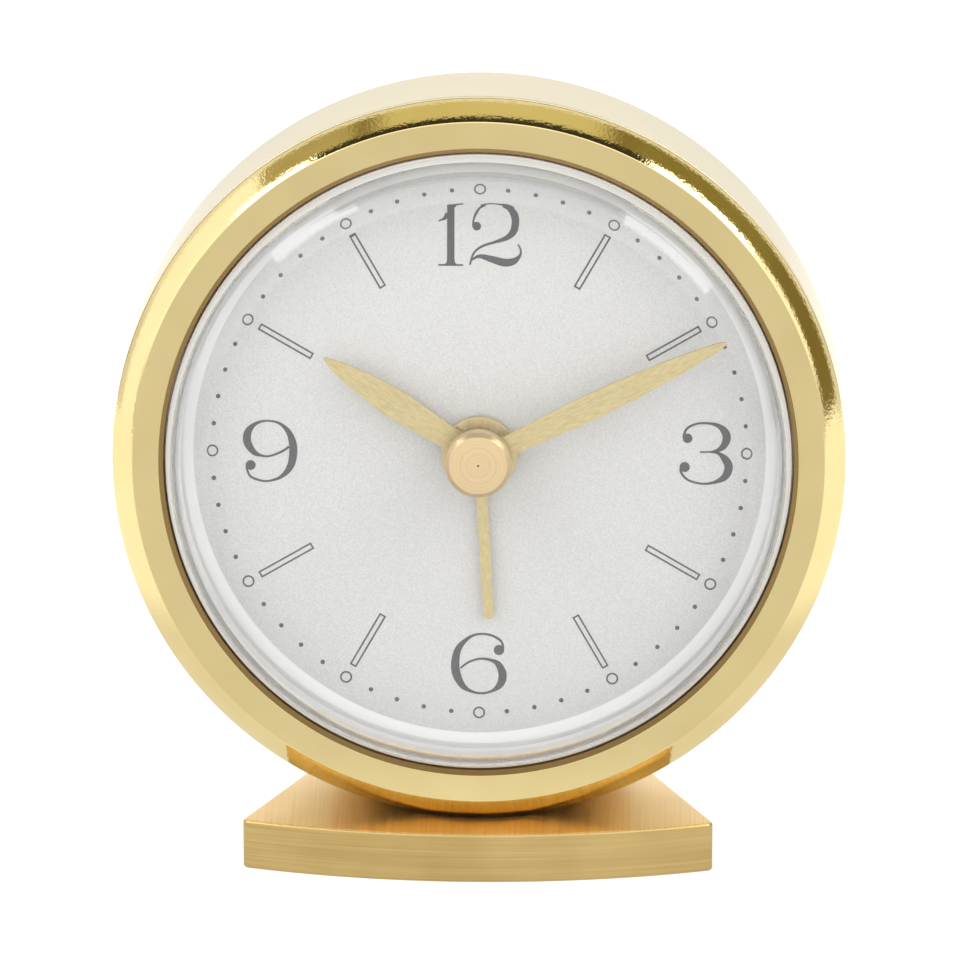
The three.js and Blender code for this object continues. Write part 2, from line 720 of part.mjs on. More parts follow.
// Going train, in mesh at rest. Its centre wheel grips the minute shaft by friction.
const pinion = (module) => ({ teeth: PINION_TEETH, module, phase: 0 });
const driven = (teeth, module, degrees) => ({
  teeth,
  module,
  phase: meshPhase(pinion(module), teeth, degrees + 180),
});
const intermediateWheel = driven(INTERMEDIATE_WHEEL_TEETH, ROTOR_MODULE, ROTOR_DEG);
const secondsWheel = driven(SECONDS_WHEEL_TEETH, TRAIN_MODULE, INTERMEDIATE_DEG);
const thirdWheel = driven(THIRD_WHEEL_TEETH, TRAIN_MODULE, SECONDS_DEG);
const centreWheel = driven(CENTRE_WHEEL_TEETH, TRAIN_MODULE, THIRD_DEG);
const trainPinion = pinion(TRAIN_MODULE);
const centreBore = circle(centre, MINUTE_SHAFT + RUN_GAP, HUB);

place(head, 'centre_wheel', wheelSlab(centreWheel, 2, [centreBore]), BRASS);
place(
  head,
  'third_wheel',
  compound(wheelSlab(thirdWheel, 1), wheelSlab(trainPinion, 2)),
  WHITE_PLASTIC,
  thirdPlace,
);
place(
  head,
  'seconds_wheel',
  compound(wheelSlab(trainPinion, 1), wheelSlab(secondsWheel, 3)),
  WHITE_PLASTIC,
  secondsPlace,
);
place(
  head,
  'intermediate_wheel',
  compound(wheelSlab(trainPinion, 3), wheelSlab(intermediateWheel, 4)),
  WHITE_PLASTIC,
  intermediatePlace,
);

// Step motor: magnet rotor in the stator's hole, and the coil's core across its two arms
const statorLow = layer(2) + STATOR_LIFT;
const statorHigh = statorLow + STATOR_THICKNESS;
const magnet = cylinder(MAGNET_RADIUS, layer(2), layer(3), HUB);
place(
  head,
  'rotor',
  compound(magnet, wheelSlab(pinion(ROTOR_MODULE), 4)),
  STEEL,
  rotorPlace,
);
const coilEnd = COIL_START + COIL_LENGTH;
const coreLow = COIL_START - SEAT_GAP - ARM_WIDTH;
const coreHigh = coilEnd + SEAT_GAP + ARM_WIDTH;
const statorOutline = outline(
  [
    [coreLow, STATOR_HALF_WIDTH],
    [coreLow, -COIL_OFFSET - CORE_RADIUS],
    [coreLow + ARM_WIDTH, -COIL_OFFSET - CORE_RADIUS],
    [coreLow + ARM_WIDTH, -STATOR_HALF_WIDTH],
    [coreHigh - ARM_WIDTH, -STATOR_HALF_WIDTH],
    [coreHigh - ARM_WIDTH, -COIL_OFFSET - CORE_RADIUS],
    [coreHigh, -COIL_OFFSET - CORE_RADIUS],
    [coreHigh, STATOR_HALF_WIDTH],
  ].map(([x, y]) => new THREE.Vector2(x, y)),
  [circle(centre, MAGNET_RADIUS + STATOR_AIR_GAP, HUB)],
);
place(head, 'stator', slab(statorOutline, statorLow, statorHigh), STEEL, rotorPlace, rad(STATOR_DEG));
const coilGeometry = turned(
  [
    [0, COIL_START - CORE_OVERHANG],
    [CORE_RADIUS, COIL_START - CORE_OVERHANG],
    [CORE_RADIUS, COIL_START],
    [COIL_RADIUS, COIL_START],
    [COIL_RADIUS, coilEnd],
    [CORE_RADIUS, coilEnd],
    [CORE_RADIUS, coilEnd + CORE_OVERHANG],
    [0, coilEnd + CORE_OVERHANG],
  ],
  HUB,
)
  .rotateY(Math.PI / 2)
  .translate(0, -COIL_OFFSET, statorHigh + SEAT_GAP + CORE_RADIUS);
place(head, 'coil', coilGeometry, COPPER, rotorPlace, rad(STATOR_DEG));

// Plates: the front one has the pillars, and both have the pivot holes
const pivotHoles = pivotPlaces.map((at) => circle(at, PIVOT + RUN_GAP, PIN));
const pillarHole = PLATE_SCREW.radius + SEAT_GAP;

function pillar([x, y]) {
  const low = backPlateFront + SEAT_GAP;
  return turnedRing(
    [
      [pillarHole, low],
      [PILLAR_RADIUS, low],
      [PILLAR_RADIUS, plateBack + PLATE_THICKNESS / 2],
      [pillarHole, plateBack + PLATE_THICKNESS / 2],
    ],
    PIN,
  ).translate(x, y, 0);
}
const frontOutline = outline(circle(centre, seatRadius, ROUND), [
  circle(centre, ALARM_PIPE.radius + SEAT_GAP, HUB),
  ...pivotHoles,
  ...[timeStemPlace, alarmStemPlace].map((at) => circle(at, PIVOT + RUN_GAP, PIN)),
]);
place(
  head,
  'movement_plate',
  joined(slab(frontOutline, plateBack, plateFront), ...pillarPlaces.map(pillar)),
  BLACK_PLASTIC,
);

const slideRest = [SLIDE_PLACE[0], SLIDE_PLACE[1] - SLIDE_TRAVEL / 2];
const postPlaces = [MAGNET_RADIUS + STATOR_AIR_GAP + 2 * CORE_RADIUS, coreHigh - ARM_WIDTH].map(
  (along) => polar(rotorPlace, along, STATOR_DEG),
);
const backDisc = cylinder(backPlateRadius, backPlateBack, backPlateFront, ROUND);
const backHoles = [
  circle(centre, PIVOT + RUN_GAP, PIN),
  ...pivotHoles,
  ...[timeStemPlace, alarmStemPlace].map((at) => circle(at, STEM + RUN_GAP, HUB)),
  ...pillarPlaces.map((at) => circle(at, pillarHole, PIN)),
  circle(cellPlace, doorOuter + SEAT_GAP, HUB),
  circle(buzzerPlace, BUZZER.radius + SEAT_GAP, HUB),
  rectangle(
    SLIDE_PLACE,
    SLIDE_FOOT.width + 2 * SEAT_GAP,
    SLIDE_FOOT.length + SLIDE_TRAVEL + 2 * SEAT_GAP,
  ),
];
const postBack = backPlateFront - BACK_PLATE_THICKNESS / 2;
const statorPosts = postPlaces.map(([x, y]) =>
  cylinder(CORE_RADIUS, postBack, statorLow - SEAT_GAP, PIN).translate(x, y, 0),
);
const screwHeads = pillarPlaces.map(([x, y]) =>
  cylinder(
    PLATE_SCREW.head + SEAT_GAP,
    backPlateBack - OVERCUT,
    backPlateBack + PLATE_SCREW.headHeight,
    PIN,
  ).translate(x, y, 0),
);
place(
  head,
  'movement_back_plate',
  cut(
    joined(backDisc, ...statorPosts),
    ...backHoles.map((hole) => slab(outline(hole), backPlateBack - OVERCUT, backPlateFront + OVERCUT)),
    ...screwHeads,
  ),
  BLACK_PLASTIC,
);
pillarPlaces.forEach((at, i) => {
  const low = backPlateBack - SEAT_GAP;
  place(head, `plate_screw_${i + 1}`, screw(PLATE_SCREW, low, low + PLATE_SCREW.length), STEEL, at);
});

// Rear cover: a spigot inside the drum, and openings for what is worked from behind
function doorOpening() {
  const [x, y] = cellPlace;
  const inner = DOOR_RADIUS + SEAT_GAP;
  const outer = doorOuter + SEAT_GAP;
  const half = DOOR_LUG_HALF_DEG + DOOR_NOTCH_EASE_DEG;
  return [0, 180].flatMap((side) => {
    const notch = side + DOOR_NOTCH_DEG;
    return [
      ...arc([x, y], inner, notch - 180 + half, notch - half, 8),
      ...arc([x, y], outer, notch - half, notch + half, END_STEPS),
    ];
  });
}

const soundSlots = Array.from({ length: SOUND_SLOTS }, (_, i) =>
  slot(
    [buzzerPlace[0], buzzerPlace[1] + (i - (SOUND_SLOTS - 1) / 2) * SOUND_SLOT.pitch],
    SOUND_SLOT.length,
    SOUND_SLOT.width,
  ),
);
const coverOutline = outline(circle(centre, DRUM_RADIUS - COVER_INSET, ROUND), [
  ...[timeStemPlace, alarmStemPlace].map((at) => circle(at, STEM + RUN_GAP, HUB)),
  slot(SLIDE_PLACE, SLIDE_TAB.length + SLIDE_TRAVEL + 4 * SEAT_GAP, SLIDE_TAB.width + 2 * SEAT_GAP, true),
  doorOpening(),
  ...soundSlots,
]);
const spigot = turnedRing(
  [
    [seatRadius - COVER_SPIGOT_WALL, coverFront - COVER_THICKNESS / 2],
    [seatRadius, coverFront - COVER_THICKNESS / 2],
    [seatRadius, COVER_SPIGOT_LENGTH],
    [seatRadius - COVER_SPIGOT_WALL, COVER_SPIGOT_LENGTH],
  ],
  ROUND,
);
place(head, 'rear_cover', joined(slab(coverOutline, coverBack, coverFront), spigot), BLACK_PLASTIC);

// Knobs with ridged edges, each on a stem with a setting pinion
const knobOutline = outline(
  Array.from({ length: 2 * KNOB_RIDGES }, (_, i) => {
    const radius = KNOB_RADIUS - (i % 2) * KNOB_RIDGE_DEPTH;
    const angle = (i * TAU) / (2 * KNOB_RIDGES);
    return new THREE.Vector2(radius * Math.cos(angle), radius * Math.sin(angle));
  }),
);
const knobFront = coverBack - SEAT_GAP;
const knobBack = knobFront - KNOB_HEIGHT;
const stemBack = knobBack + KNOB_HEIGHT / 2;

function knobGeometry() {
  const socket = cylinder(STEM + PRESS_GAP, stemBack - SEAT_GAP, knobFront + OVERCUT, HUB);
  return cut(slab(knobOutline, knobBack, knobFront), socket);
}

function stemGeometry(gear, n) {
  const shaft = turned(
    [
      [0, stemBack],
      [STEM, stemBack],
      [STEM, layer(n) + GEAR_THICKNESS + SEAT_GAP / 2],
      [PIVOT, layer(n) + GEAR_THICKNESS + SEAT_GAP / 2],
      [PIVOT, plateFront - SEAT_GAP],
      [0, plateFront - SEAT_GAP],
    ],
    PIN,
  );
  return joined(shaft, wheelSlab(gear, n));
}
place(head, 'time_knob', knobGeometry(), BLACK_PLASTIC, timeStemPlace);
place(head, 'time_stem', stemGeometry(timePinion, CANNON_LAYER), WHITE_PLASTIC, timeStemPlace);
place(head, 'alarm_knob', knobGeometry(), BLACK_PLASTIC, alarmStemPlace);
place(head, 'alarm_stem', stemGeometry(alarmPinion, ALARM_LAYER), WHITE_PLASTIC, alarmStemPlace);

// Alarm switch: a tab through the cover on a foot that slides in the back plate's window
const slideFoot = slab(
  outline(rectangle(centre, SLIDE_FOOT.width, SLIDE_FOOT.length)),
  coverFront + SEAT_GAP,
  boardBack - SEAT_GAP,
);
const slideTab = slab(
  outline(slot(centre, SLIDE_TAB.length, SLIDE_TAB.width, true)),
  coverBack - SLIDE_TAB.rise,
  coverFront + 2 * SEAT_GAP,
);
place(head, 'alarm_switch', joined(slideFoot, slideTab), WHITE_PLASTIC, slideRest);

// Battery door: a disc with a coin slot and two lugs that turn under the cover
const lugLow = coverFront + SEAT_GAP;
const doorFront = lugLow + DOOR_RIM;

function doorGeometry() {
  const disc = cylinder(DOOR_RADIUS, coverBack, doorFront, ROUND);
  const lugs = [0, 180].map((side) =>
    slab(
      outline([
        new THREE.Vector2(0, 0),
        ...arc(centre, doorOuter, side - DOOR_LUG_HALF_DEG, side + DOOR_LUG_HALF_DEG, END_STEPS),
      ]),
      lugLow,
      lugLow + DOOR_LUG_THICKNESS,
    ),
  );
  const coinSlot = slab(
    outline(slot(centre, COIN_SLOT.length, COIN_SLOT.width)),
    coverBack - OVERCUT,
    coverBack + COIN_SLOT.depth,
  );
  return toGeometry(
    [disc, ...lugs]
      .map(toSolid)
      .reduce((solid, other) => solid.add(other))
      .subtract(toSolid(coinSlot)),
  );
}
const cellBack = doorFront + SEAT_GAP;
const cellFront = cellBack + CELL_HEIGHT;
place(head, 'battery_door', doorGeometry(), BLACK_PLASTIC, cellPlace);
const cellGeometry = turned(
  [
    [0, cellBack],
    [CELL_RADIUS, cellBack],
    [CELL_RADIUS, cellFront - CELL_CRIMP.height],
    [CELL_RADIUS - CELL_CRIMP.width, cellFront - CELL_CRIMP.step],
    [CELL_RADIUS - CELL_CRIMP.rim, cellFront],
    [0, cellFront],
  ],
  2 * HUB,
);
place(head, 'button_cell', cellGeometry, STEEL, cellPlace);

// Contacts: bent strips from the cell to the board, drawn outward from the cell's axis
const footLow = boardFront + SEAT_GAP;
const footHigh = footLow + CONTACT_THICKNESS;
const strip = (points) =>
  slab(outline(points.map(([x, y]) => new THREE.Vector2(x, y))), 0, CONTACT_WIDTH)
    .rotateX(Math.PI / 2)
    .translate(0, CONTACT_WIDTH / 2, 0);
const sideIn = CELL_RADIUS + SEAT_GAP;
const sideOut = sideIn + CONTACT_THICKNESS;
place(
  head,
  'contact_positive',
  strip([
    [sideIn, footLow],
    [sideIn + CONTACT_FOOT, footLow],
    [sideIn + CONTACT_FOOT, footHigh],
    [sideOut, footHigh],
    [sideOut, cellFront - CONTACT_TOP_DROP],
    [sideIn, cellFront - CONTACT_TOP_DROP],
  ]),
  BRASS,
  cellPlace,
  rad(POSITIVE_DEG),
);
const topLow = cellFront + SEAT_GAP;
const topHigh = topLow + CONTACT_THICKNESS;
const legIn = sideIn + SEAT_GAP;
const legOut = legIn + CONTACT_THICKNESS;
place(
  head,
  'contact_negative',
  strip([
    [-NEGATIVE_REACH, topLow],
    [legIn, topLow],
    [legIn, footLow],
    [legIn + NEGATIVE_FOOT, footLow],
    [legIn + NEGATIVE_FOOT, footHigh],
    [legOut, footHigh],
    [legOut, topHigh],
    [-NEGATIVE_REACH, topHigh],
  ]),
  BRASS,
  cellPlace,
  rad(NEGATIVE_DEG),
);

// Circuit board, its timing crystal and its sealed chip
const boardOutline = outline(
  [
    [BOARD_LEFT, BOARD_TOP],
    [BOARD_LEFT, BOARD_BOTTOM + BOARD_CUT[1]],
    [BOARD_LEFT + BOARD_CUT[0], BOARD_BOTTOM],
    [BOARD_RIGHT, BOARD_BOTTOM],
    [BOARD_RIGHT, BOARD_TOP],
  ].map(([x, y]) => new THREE.Vector2(x, y)),
);
const boardLimit = cylinder(backPlateRadius - BOARD_INSET, boardBack - OVERCUT, boardFront + OVERCUT, ROUND);
place(
  head,
  'circuit_board',
  shared(slab(boardOutline, boardBack, boardFront), boardLimit),
  BOARD_GREEN,
);
const canGeometry = cylinder(CAN.radius, -CAN.length / 2, CAN.length / 2, PIN)
  .rotateX(Math.PI / 2)
  .translate(0, 0, boardFront + SEAT_GAP + CAN.radius);
place(head, 'quartz_can', canGeometry, STEEL, CAN.place);
const chipGeometry = turned(
  [
    [0, boardFront + SEAT_GAP],
    [CHIP.radius, boardFront + SEAT_GAP],
    [CHIP.shoulder, boardFront + SEAT_GAP + CHIP.rise],
    [0, boardFront + SEAT_GAP + CHIP.height],
  ],
  HUB,
);
place(head, 'chip', chipGeometry, BLACK_PLASTIC, CHIP.place);

// Buzzer, its sound hole towards the slots in the cover
const buzzerBack = coverFront + SEAT_GAP;
const buzzerGeometry = turned(
  [
    [0, buzzerBack + BUZZER.holeDepth],
    [BUZZER.hole, buzzerBack + BUZZER.holeDepth],
    [BUZZER.hole, buzzerBack],
    [BUZZER.radius, buzzerBack],
    [BUZZER.radius, buzzerBack + BUZZER.height],
    [0, buzzerBack + BUZZER.height],
  ],
  2 * HUB,
);
place(head, 'buzzer', buzzerGeometry, BLACK_PLASTIC, buzzerPlace);

export default clock;
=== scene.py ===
# Looks for the miniature alarm clock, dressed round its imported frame. Metres, +Z up.
import json
import math

import bpy
from mathutils import Matrix, Vector


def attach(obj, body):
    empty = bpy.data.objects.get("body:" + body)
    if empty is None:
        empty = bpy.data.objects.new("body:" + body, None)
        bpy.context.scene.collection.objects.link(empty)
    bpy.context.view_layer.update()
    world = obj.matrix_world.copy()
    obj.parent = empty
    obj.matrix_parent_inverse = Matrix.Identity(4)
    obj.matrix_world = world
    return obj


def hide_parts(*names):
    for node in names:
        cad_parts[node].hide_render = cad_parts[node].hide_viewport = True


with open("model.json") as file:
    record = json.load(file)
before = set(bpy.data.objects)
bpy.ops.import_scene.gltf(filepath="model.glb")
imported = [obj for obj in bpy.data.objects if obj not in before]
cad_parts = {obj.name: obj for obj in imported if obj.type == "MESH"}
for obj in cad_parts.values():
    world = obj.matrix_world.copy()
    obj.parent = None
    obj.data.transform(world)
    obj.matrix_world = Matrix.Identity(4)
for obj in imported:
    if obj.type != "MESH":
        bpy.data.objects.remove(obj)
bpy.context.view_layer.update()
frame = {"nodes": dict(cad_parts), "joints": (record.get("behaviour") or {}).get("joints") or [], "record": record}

MM = 0.001
TAU = 2 * math.pi
JOINTS = {joint["name"]: joint for joint in frame["joints"]}

# Sizes in mm, as in the frame. Heights run out of the dial from the drum's rear rim.
SEAT_GAP = 0.3
RUN_GAP = 0.15
CUT_OVERRUN = 1
EDGE_ROUND = 0.05

# Drum and its inner shoulder
DRUM_RADIUS = 30
DRUM_LENGTH = 11.9
DRUM_BORE = 28.6
DRUM_EDGE = 0.3
DRUM_BORE_ROUND = 0.08
DRUM_REAR_ROUND = 0.1
DRUM_FRONT_ROUND = 0.12
SHOULDER_BORE = 26.8
SHOULDER_BACK = 3.6
SHOULDER_TOP = 6.9
SEAT_RADIUS = 28.3

# Bezel, with a sleeve in the drum and a crowned chamfer outside
BEZEL_BACK = 12.2
BEZEL_EDGE = 12.6
BEZEL_FACE = 14.6
BEZEL_BORE = 25.75
BEZEL_BEVEL = 0.4
BEZEL_BACK_ROUND = 0.06
BEZEL_EDGE_ROUND = 0.4
BEZEL_RIM_ROUND = 0.15
BEZEL_SHADE_EASE = 0.03  # how far within the bevel its painted shade and rougher finish end
BEZEL_SLEEVE = 27.5
BEZEL_SLEEVE_BACK = 9.7
BEZEL_SEAT = 11.2
CHAMFER_CROWN_DEG = 16

# Crystal, held by its flange, and dial
CRYSTAL_RADIUS = 25.6
CRYSTAL_BACK = 9.7
CRYSTAL_TOP = 17.3
CRYSTAL_WALL = 0.8
CRYSTAL_SHOULDER = 3.7
CRYSTAL_INNER_ROUND = 2.9
CRYSTAL_FLANGE = 27.1
CRYSTAL_FLANGE_TOP = 10.9
CRYSTAL_GROUND = 0.45  # width of the ground band round its wall
CRYSTAL_GROUND_FOOT = 0.05
DIAL_HOLE = 2.9
DIAL_BACK = 8.7
DIAL_FRONT = 9.4
DIAL_PAINTED_LIGHT_RIM = (23.6, 23.8)  # radii over which the dial turns pale under the crystal's wall, painted light

# Hands: clock is the angle in degrees from 12, leaf lists (part of the length, width)
HAND_THICKNESS = 0.35
HUB_THICKNESS = 0.6
HUB_ROUND = 0.06
HUB_LIP_GAP = 0.05
HUB_LIP = 0.2
HANDS = {
    "alarm_hand": dict(
        body="alarm", length=13.9, wide=0.94, tip=0.86, hub=3.14, bore=2.5, back=9.8, clock=176.6, lip=1.75
    ),
    "hour_hand": dict(
        body="hour", length=15.1, hub=2.3, bore=1.6, back=11, clock=302.6,
        leaf=[(0, 1.7), (0.25, 1.96), (0.5, 2.38), (0.7, 2.02), (0.85, 1.39), (0.95, 0.65), (1, 0.12)],
    ),
    "minute_hand": dict(
        body="minute", length=22.4, hub=2.47, bore=0.85, back=12.2, clock=64,
        leaf=[(0, 1.6), (0.2, 1.78), (0.42, 2.08), (0.6, 1.96), (0.8, 1.45), (0.95, 0.75), (1, 0.2)],
    ),
}
CAP_BACK = 13.1
CAP_FRONT = 15
CAP_RADIUS = 2.7
CAP_BORE = 0.85
CAP_CHAMFER = 0.34
CAP_WALL = 0.7
CAP_DIMPLE = 0.1
CAP_BACK_ROUND = 0.06

# Foot and its screws. Heights run up from the table.
BASE_WIDTH = 39
BASE_BOW = 3.4
BASE_DEPTH = 22.4
BASE_HEIGHT = 4.16
BASE_SIDE_DEG = 21.7
BASE_CORNER = 0.6
BASE_EDGE = 0.25
SADDLE_RADIUS = 30.3
SCREW_SPREAD = 4.5
SCREW_RADIUS = 1.25
SCREW_HEAD = 2.3
SCREW_HEAD_HEIGHT = 1.2
SCREW_RECESS = 0.4
SCREW_TOP = 5.72
SCREW_HEAD_ROUND = 0.4
SCREW_END_ROUND = 0.2
SCREW_CROSS = (2.6, 0.5)
SCREW_CROSS_DEPTHS = (0.7, 0.69)  # a hair apart, so that the slots' floors don't share a plane

# Rear cover, knobs, switch slot, battery door and sound slots
COVER_RADIUS = 29.4
COVER_BACK = -1.8
COVER_FRONT = -0.3
COVER_SPIGOT = 26.9
COVER_SPIGOT_TOP = 2
COVER_EDGE_ROUND = 0.5
COVER_ROUND = 0.1
STEM_RADIUS = 1
KNOB_RADIUS = 4
KNOB_BACK = -4.9
KNOB_FRONT = -2.1
KNOB_RIDGES = 18
KNOB_RIDGE_DEPTH = 0.25
KNOB_DISH = [(2.4, 0.35), (2.8, 0.08), (3.1, 0)]  # (radius, depth) from the dish to its rim
KNOB_EDGE = [(0.3, 0.06), (0.08, 0.2), (0, 0.45)]  # (inset, depth) of the ridges at the rear
KNOB_NECK = [(0, 0.15), (0.15, 0)]  # (inset, distance from the front)
KNOBS = {
    "time_knob": dict(body="time_setter", joint="time_knob_turn"),
    "alarm_knob": dict(body="alarm_setter", joint="alarm_knob_turn"),
}
SLIDE_PLACE = (17, 0)
SLIDE_SLOT = (2.6, 7.6)
DOOR_RADIUS = 6.6
DOOR_LUG = 1
DOOR_FRONT = 0.5
DOOR_LUG_BACK = 0
DOOR_LUG_FRONT = 0.4
DOOR_LUG_HALF_DEG = 20
DOOR_NOTCH_DEG = -60
DOOR_NOTCH_EASE_DEG = 2
DOOR_EDGE_ROUND = 0.25
DOOR_FRONT_ROUND = 0.1
COIN_SLOT = (9, 1.4, 0.8)
BUZZER_PLACE = (-7.981, -15.01)
SOUND_SLOT = (8, 1)
SOUND_PITCH = 2
SOUND_SLOTS = 5

# Dial print, in mm from the dial's centre
PRINT_HEIGHT = 0.02
PRINT_TOP = DIAL_FRONT + PRINT_HEIGHT
PRINT_STEP = 0.001
TRACK_RADIUS = 21.95
TRACK_DOT = 0.19
HOUR_RING = 0.5
LINE = 0.14
BAR_INNER = 15.85
BAR_OUTER = 20.85
BAR_WIDTH = 0.6
BAR_HOURS = (1, 2, 4, 5, 7, 8, 10, 11)
FIGURE_HEIGHT = 5.2

# Figures as pen strokes of (x, y, width) and balls of (x, y, radius), in hundredths of their height
FIGURES = {
    "12": dict(at=(0, 18.1), wide=132, balls=[(60.9, 64.5, 6.8)], strokes=[
        [(20.2, 96.5, 11.5), (20.2, 50, 11.5), (20.2, 0.8, 11.5)],
        [(15.5, 84, 9), (11.5, 77.8, 6), (6.5, 74.8, 3.2), (0.7, 72.7, 2.2)],
        [(17, 94, 6), (25, 96, 3.5), (40, 98.2, 1.8)],
        [(0.5, 2.2, 2.8), (39.8, 2.2, 2.8)],
        [(20.2, 12, 11.5), (20.2, 6, 14), (20.2, 2.2, 24)],
        [
            (55.2, 65, 3.4), (55.9, 74, 3), (60, 85, 4), (67, 94.5, 3.2), (80, 98.4, 2),
            (96, 97.6, 2.4), (110, 94, 7), (119, 85, 11.6), (121.8, 72, 11.9), (118.5, 56, 11.2),
            (108, 46, 8), (90, 39.3, 4.4), (70, 32.6, 3.7), (56.5, 21.5, 3.4), (50.2, 2.5, 3),
        ],
        [
            (52, 9.5, 2), (65, 16.4, 6), (84, 12, 10.5), (104, 6.6, 12.6), (119, 8.6, 10.6),
            (129, 18, 4.5), (130, 27, 3), (126, 36, 2.4),
        ],
    ]),
    "3": dict(at=(18.6, 0), wide=85, balls=[(13, 74.2, 7.6), (8.8, 27.9, 8.1)], strokes=[
        [
            (6.4, 76, 3.4), (12, 89.7, 3.8), (27, 97.6, 3.4), (45, 98.5, 3.7), (61, 94.8, 6.8),
            (71.5, 85.5, 11.8), (74.7, 73.4, 12.9), (67.8, 59.7, 9.4), (53.2, 53.2, 3.1), (32.6, 52.1, 2.9),
        ],
        [
            (48, 52.4, 2.6), (62, 50.2, 5), (73.5, 39.5, 11.9), (78.1, 27, 13.3), (72.1, 12.4, 11.2),
            (56.7, 3.9, 5.2), (37.8, 1.1, 3.3), (16.3, 6, 3.4), (5, 15.8, 3.6), (1.7, 25.3, 3.4),
        ],
    ]),
    "6": dict(at=(0, -17.8), wide=88, balls=[(75.4, 72, 8.2)], strokes=[
        [
            (82.2, 75, 3.3), (78.8, 86.4, 3.5), (63.6, 95.8, 3.5), (45, 98, 3.2), (28.8, 92.4, 4.5),
            (12.1, 75.8, 9.8), (6.4, 54.5, 12.7), (8, 33.3, 13.3), (17.4, 14.4, 9.8), (30, 5.4, 5),
            (46.2, 1.5, 3.5), (64.4, 5.3, 4.5), (77.7, 16.7, 11.4), (81.2, 32.6, 13), (74.6, 48.5, 9.8),
            (63, 55.4, 4.9), (46, 57.8, 3.5), (28, 52.4, 3.3), (14.4, 42.4, 3),
        ],
    ]),
    "9": dict(at=(-17.2, 0), wide=86, balls=[(12.1, 27, 7.9)], strokes=[
        [
            (5.2, 24.6, 3.2), (10.9, 9.7, 3.5), (25, 2.9, 3.4), (40, 1.4, 3.2), (59.3, 7.7, 5.3),
            (73.8, 23, 10.5), (79.3, 43.1, 12.7), (78.6, 63.3, 12.1), (71.4, 81.9, 8.1), (56.9, 94.8, 4),
            (37.5, 98.4, 3.2), (19.8, 93.5, 5.6), (8.1, 80.2, 11.7), (7.3, 63.3, 12.5), (17.3, 48, 8.9),
            (29.5, 42.4, 4), (42.3, 41.7, 3.1), (60.9, 48.8, 3.7), (73, 56.9, 3.7),
        ],
    ]),
}

# Studio: lengths in mm, glows as emission strengths
FLOOR_RADIUS = 400
FLOOR_THICKNESS = 2
FLOOR_SIDES = 96
FLOOR_TONE = 0.15
FLOOR_FRONT = (45, 90)  # distances before the clock over which the floor dims
FLOOR_BESIDE = (45, 65)  # distances beside it over which the floor brightens
GLOW_NEAR = 0.9
GLOW_FRONT = 0.7
GLOW_BESIDE = 0.38
CAMERA_FOCUS = (0, -3.745, 34.046)
CAMERA_SHIFT = (0.1, -1.69, 0)
CAMERA_AZIMUTH_DEG = 1.2
CAMERA_ELEVATION_DEG = 16.9
CAMERA_DISTANCE = 833
CAMERA_LENS = 382
CAMERA_SENSOR = 36
CAMERA_REACH_M = 10

# Facets
ROUND = 192
FINE = 48
CORNER_STEPS = 5
CURVE_STEPS = 7
ARC_STEPS = 12
BOW_STEPS = 40
CRYSTAL_INNER_STEPS = 8
CRYSTAL_OUTER_STEPS = 16
DOOR_STEPS = 32
DOT_SIDES = 16
RIDGE_STEPS = 8
BEVEL_STEPS = 3
BEVEL_LIMIT_DEG = 50
SMOOTH_DEG = 32


def head_frame():
    """From the head's own axes (right, up, out of the dial) to the row frame, in metres"""
    turn = JOINTS["minute_turn"]
    out = -Vector(turn["axis"]).normalized()
    right = Vector((1, 0, 0))
    up = out.cross(right)
    axes = Matrix((right, up, out)).transposed().to_4x4()
    return Matrix.Translation(turn["pos_m"]) @ axes


HEAD = head_frame()


def on_head(joint):
    """A joint's place across the head, in mm"""
    x, y, _ = HEAD.inverted() @ Vector(JOINTS[joint]["pos_m"]) / MM
    return x, y


# Shapes


def corner_arc(before, corner, after, fillet):
    """Points of the arc that rounds one corner of an outline"""
    first = (before - corner).normalized()
    second = (after - corner).normalized()
    half = first.angle(second) / 2
    centre = corner + (first + second).normalized() * (fillet / math.sin(half))
    start = corner + first * (fillet / math.tan(half)) - centre
    end = corner + second * (fillet / math.tan(half)) - centre
    sweep = math.atan2(start.x * end.y - start.y * end.x, start.dot(end))
    turns = [Matrix.Rotation(sweep * k / CORNER_STEPS, 2) for k in range(CORNER_STEPS + 1)]
    return [centre + turn @ start for turn in turns]


def rounded(points):
    """Closed outline from (x, y, fillet) corners"""
    corners = [Vector(point[:2]) for point in points]
    outline = []
    for i, (_, _, fillet) in enumerate(points):
        if fillet:
            outline += corner_arc(corners[i - 1], corners[i], corners[(i + 1) % len(points)], fillet)
        else:
            outline.append(corners[i])
    return outline


def arc(centre, radius, start_deg, end_deg, steps):
    x, y = centre
    angles = [math.radians(start_deg + (end_deg - start_deg) * k / steps) for k in range(steps + 1)]
    return [(x + radius * math.cos(a), y + radius * math.sin(a)) for a in angles]


def crowned(start, end, turn_deg):
    """Points between two ends on an arc that swells to the right and turns by an angle in all"""
    start, end = Vector(start), Vector(end)
    half = math.radians(turn_deg) / 2
    chord = end - start
    radius = chord.length / (2 * math.sin(half))
    centre = (start + end) / 2 + Vector((-chord.y, chord.x)).normalized() * radius * math.cos(half)
    turns = [Matrix.Rotation(2 * half * k / ARC_STEPS, 2) for k in range(1, ARC_STEPS)]
    return [centre + turn @ (start - centre) for turn in turns]


def circle(radius, centre=(0, 0), count=FINE):
    return arc(centre, radius, 0, 360 - 360 / count, count - 1)


def slot(centre, length, width, upright=False):
    """Outline with round ends"""
    x, y = centre
    reach, radius, turn = (length - width) / 2, width / 2, 90 if upright else 0
    dx, dy = (0, reach) if upright else (reach, 0)
    return [
        *arc((x + dx, y + dy), radius, turn - 90, turn + 90, ARC_STEPS),
        *arc((x - dx, y - dy), radius, turn + 90, turn + 270, ARC_STEPS),
    ]


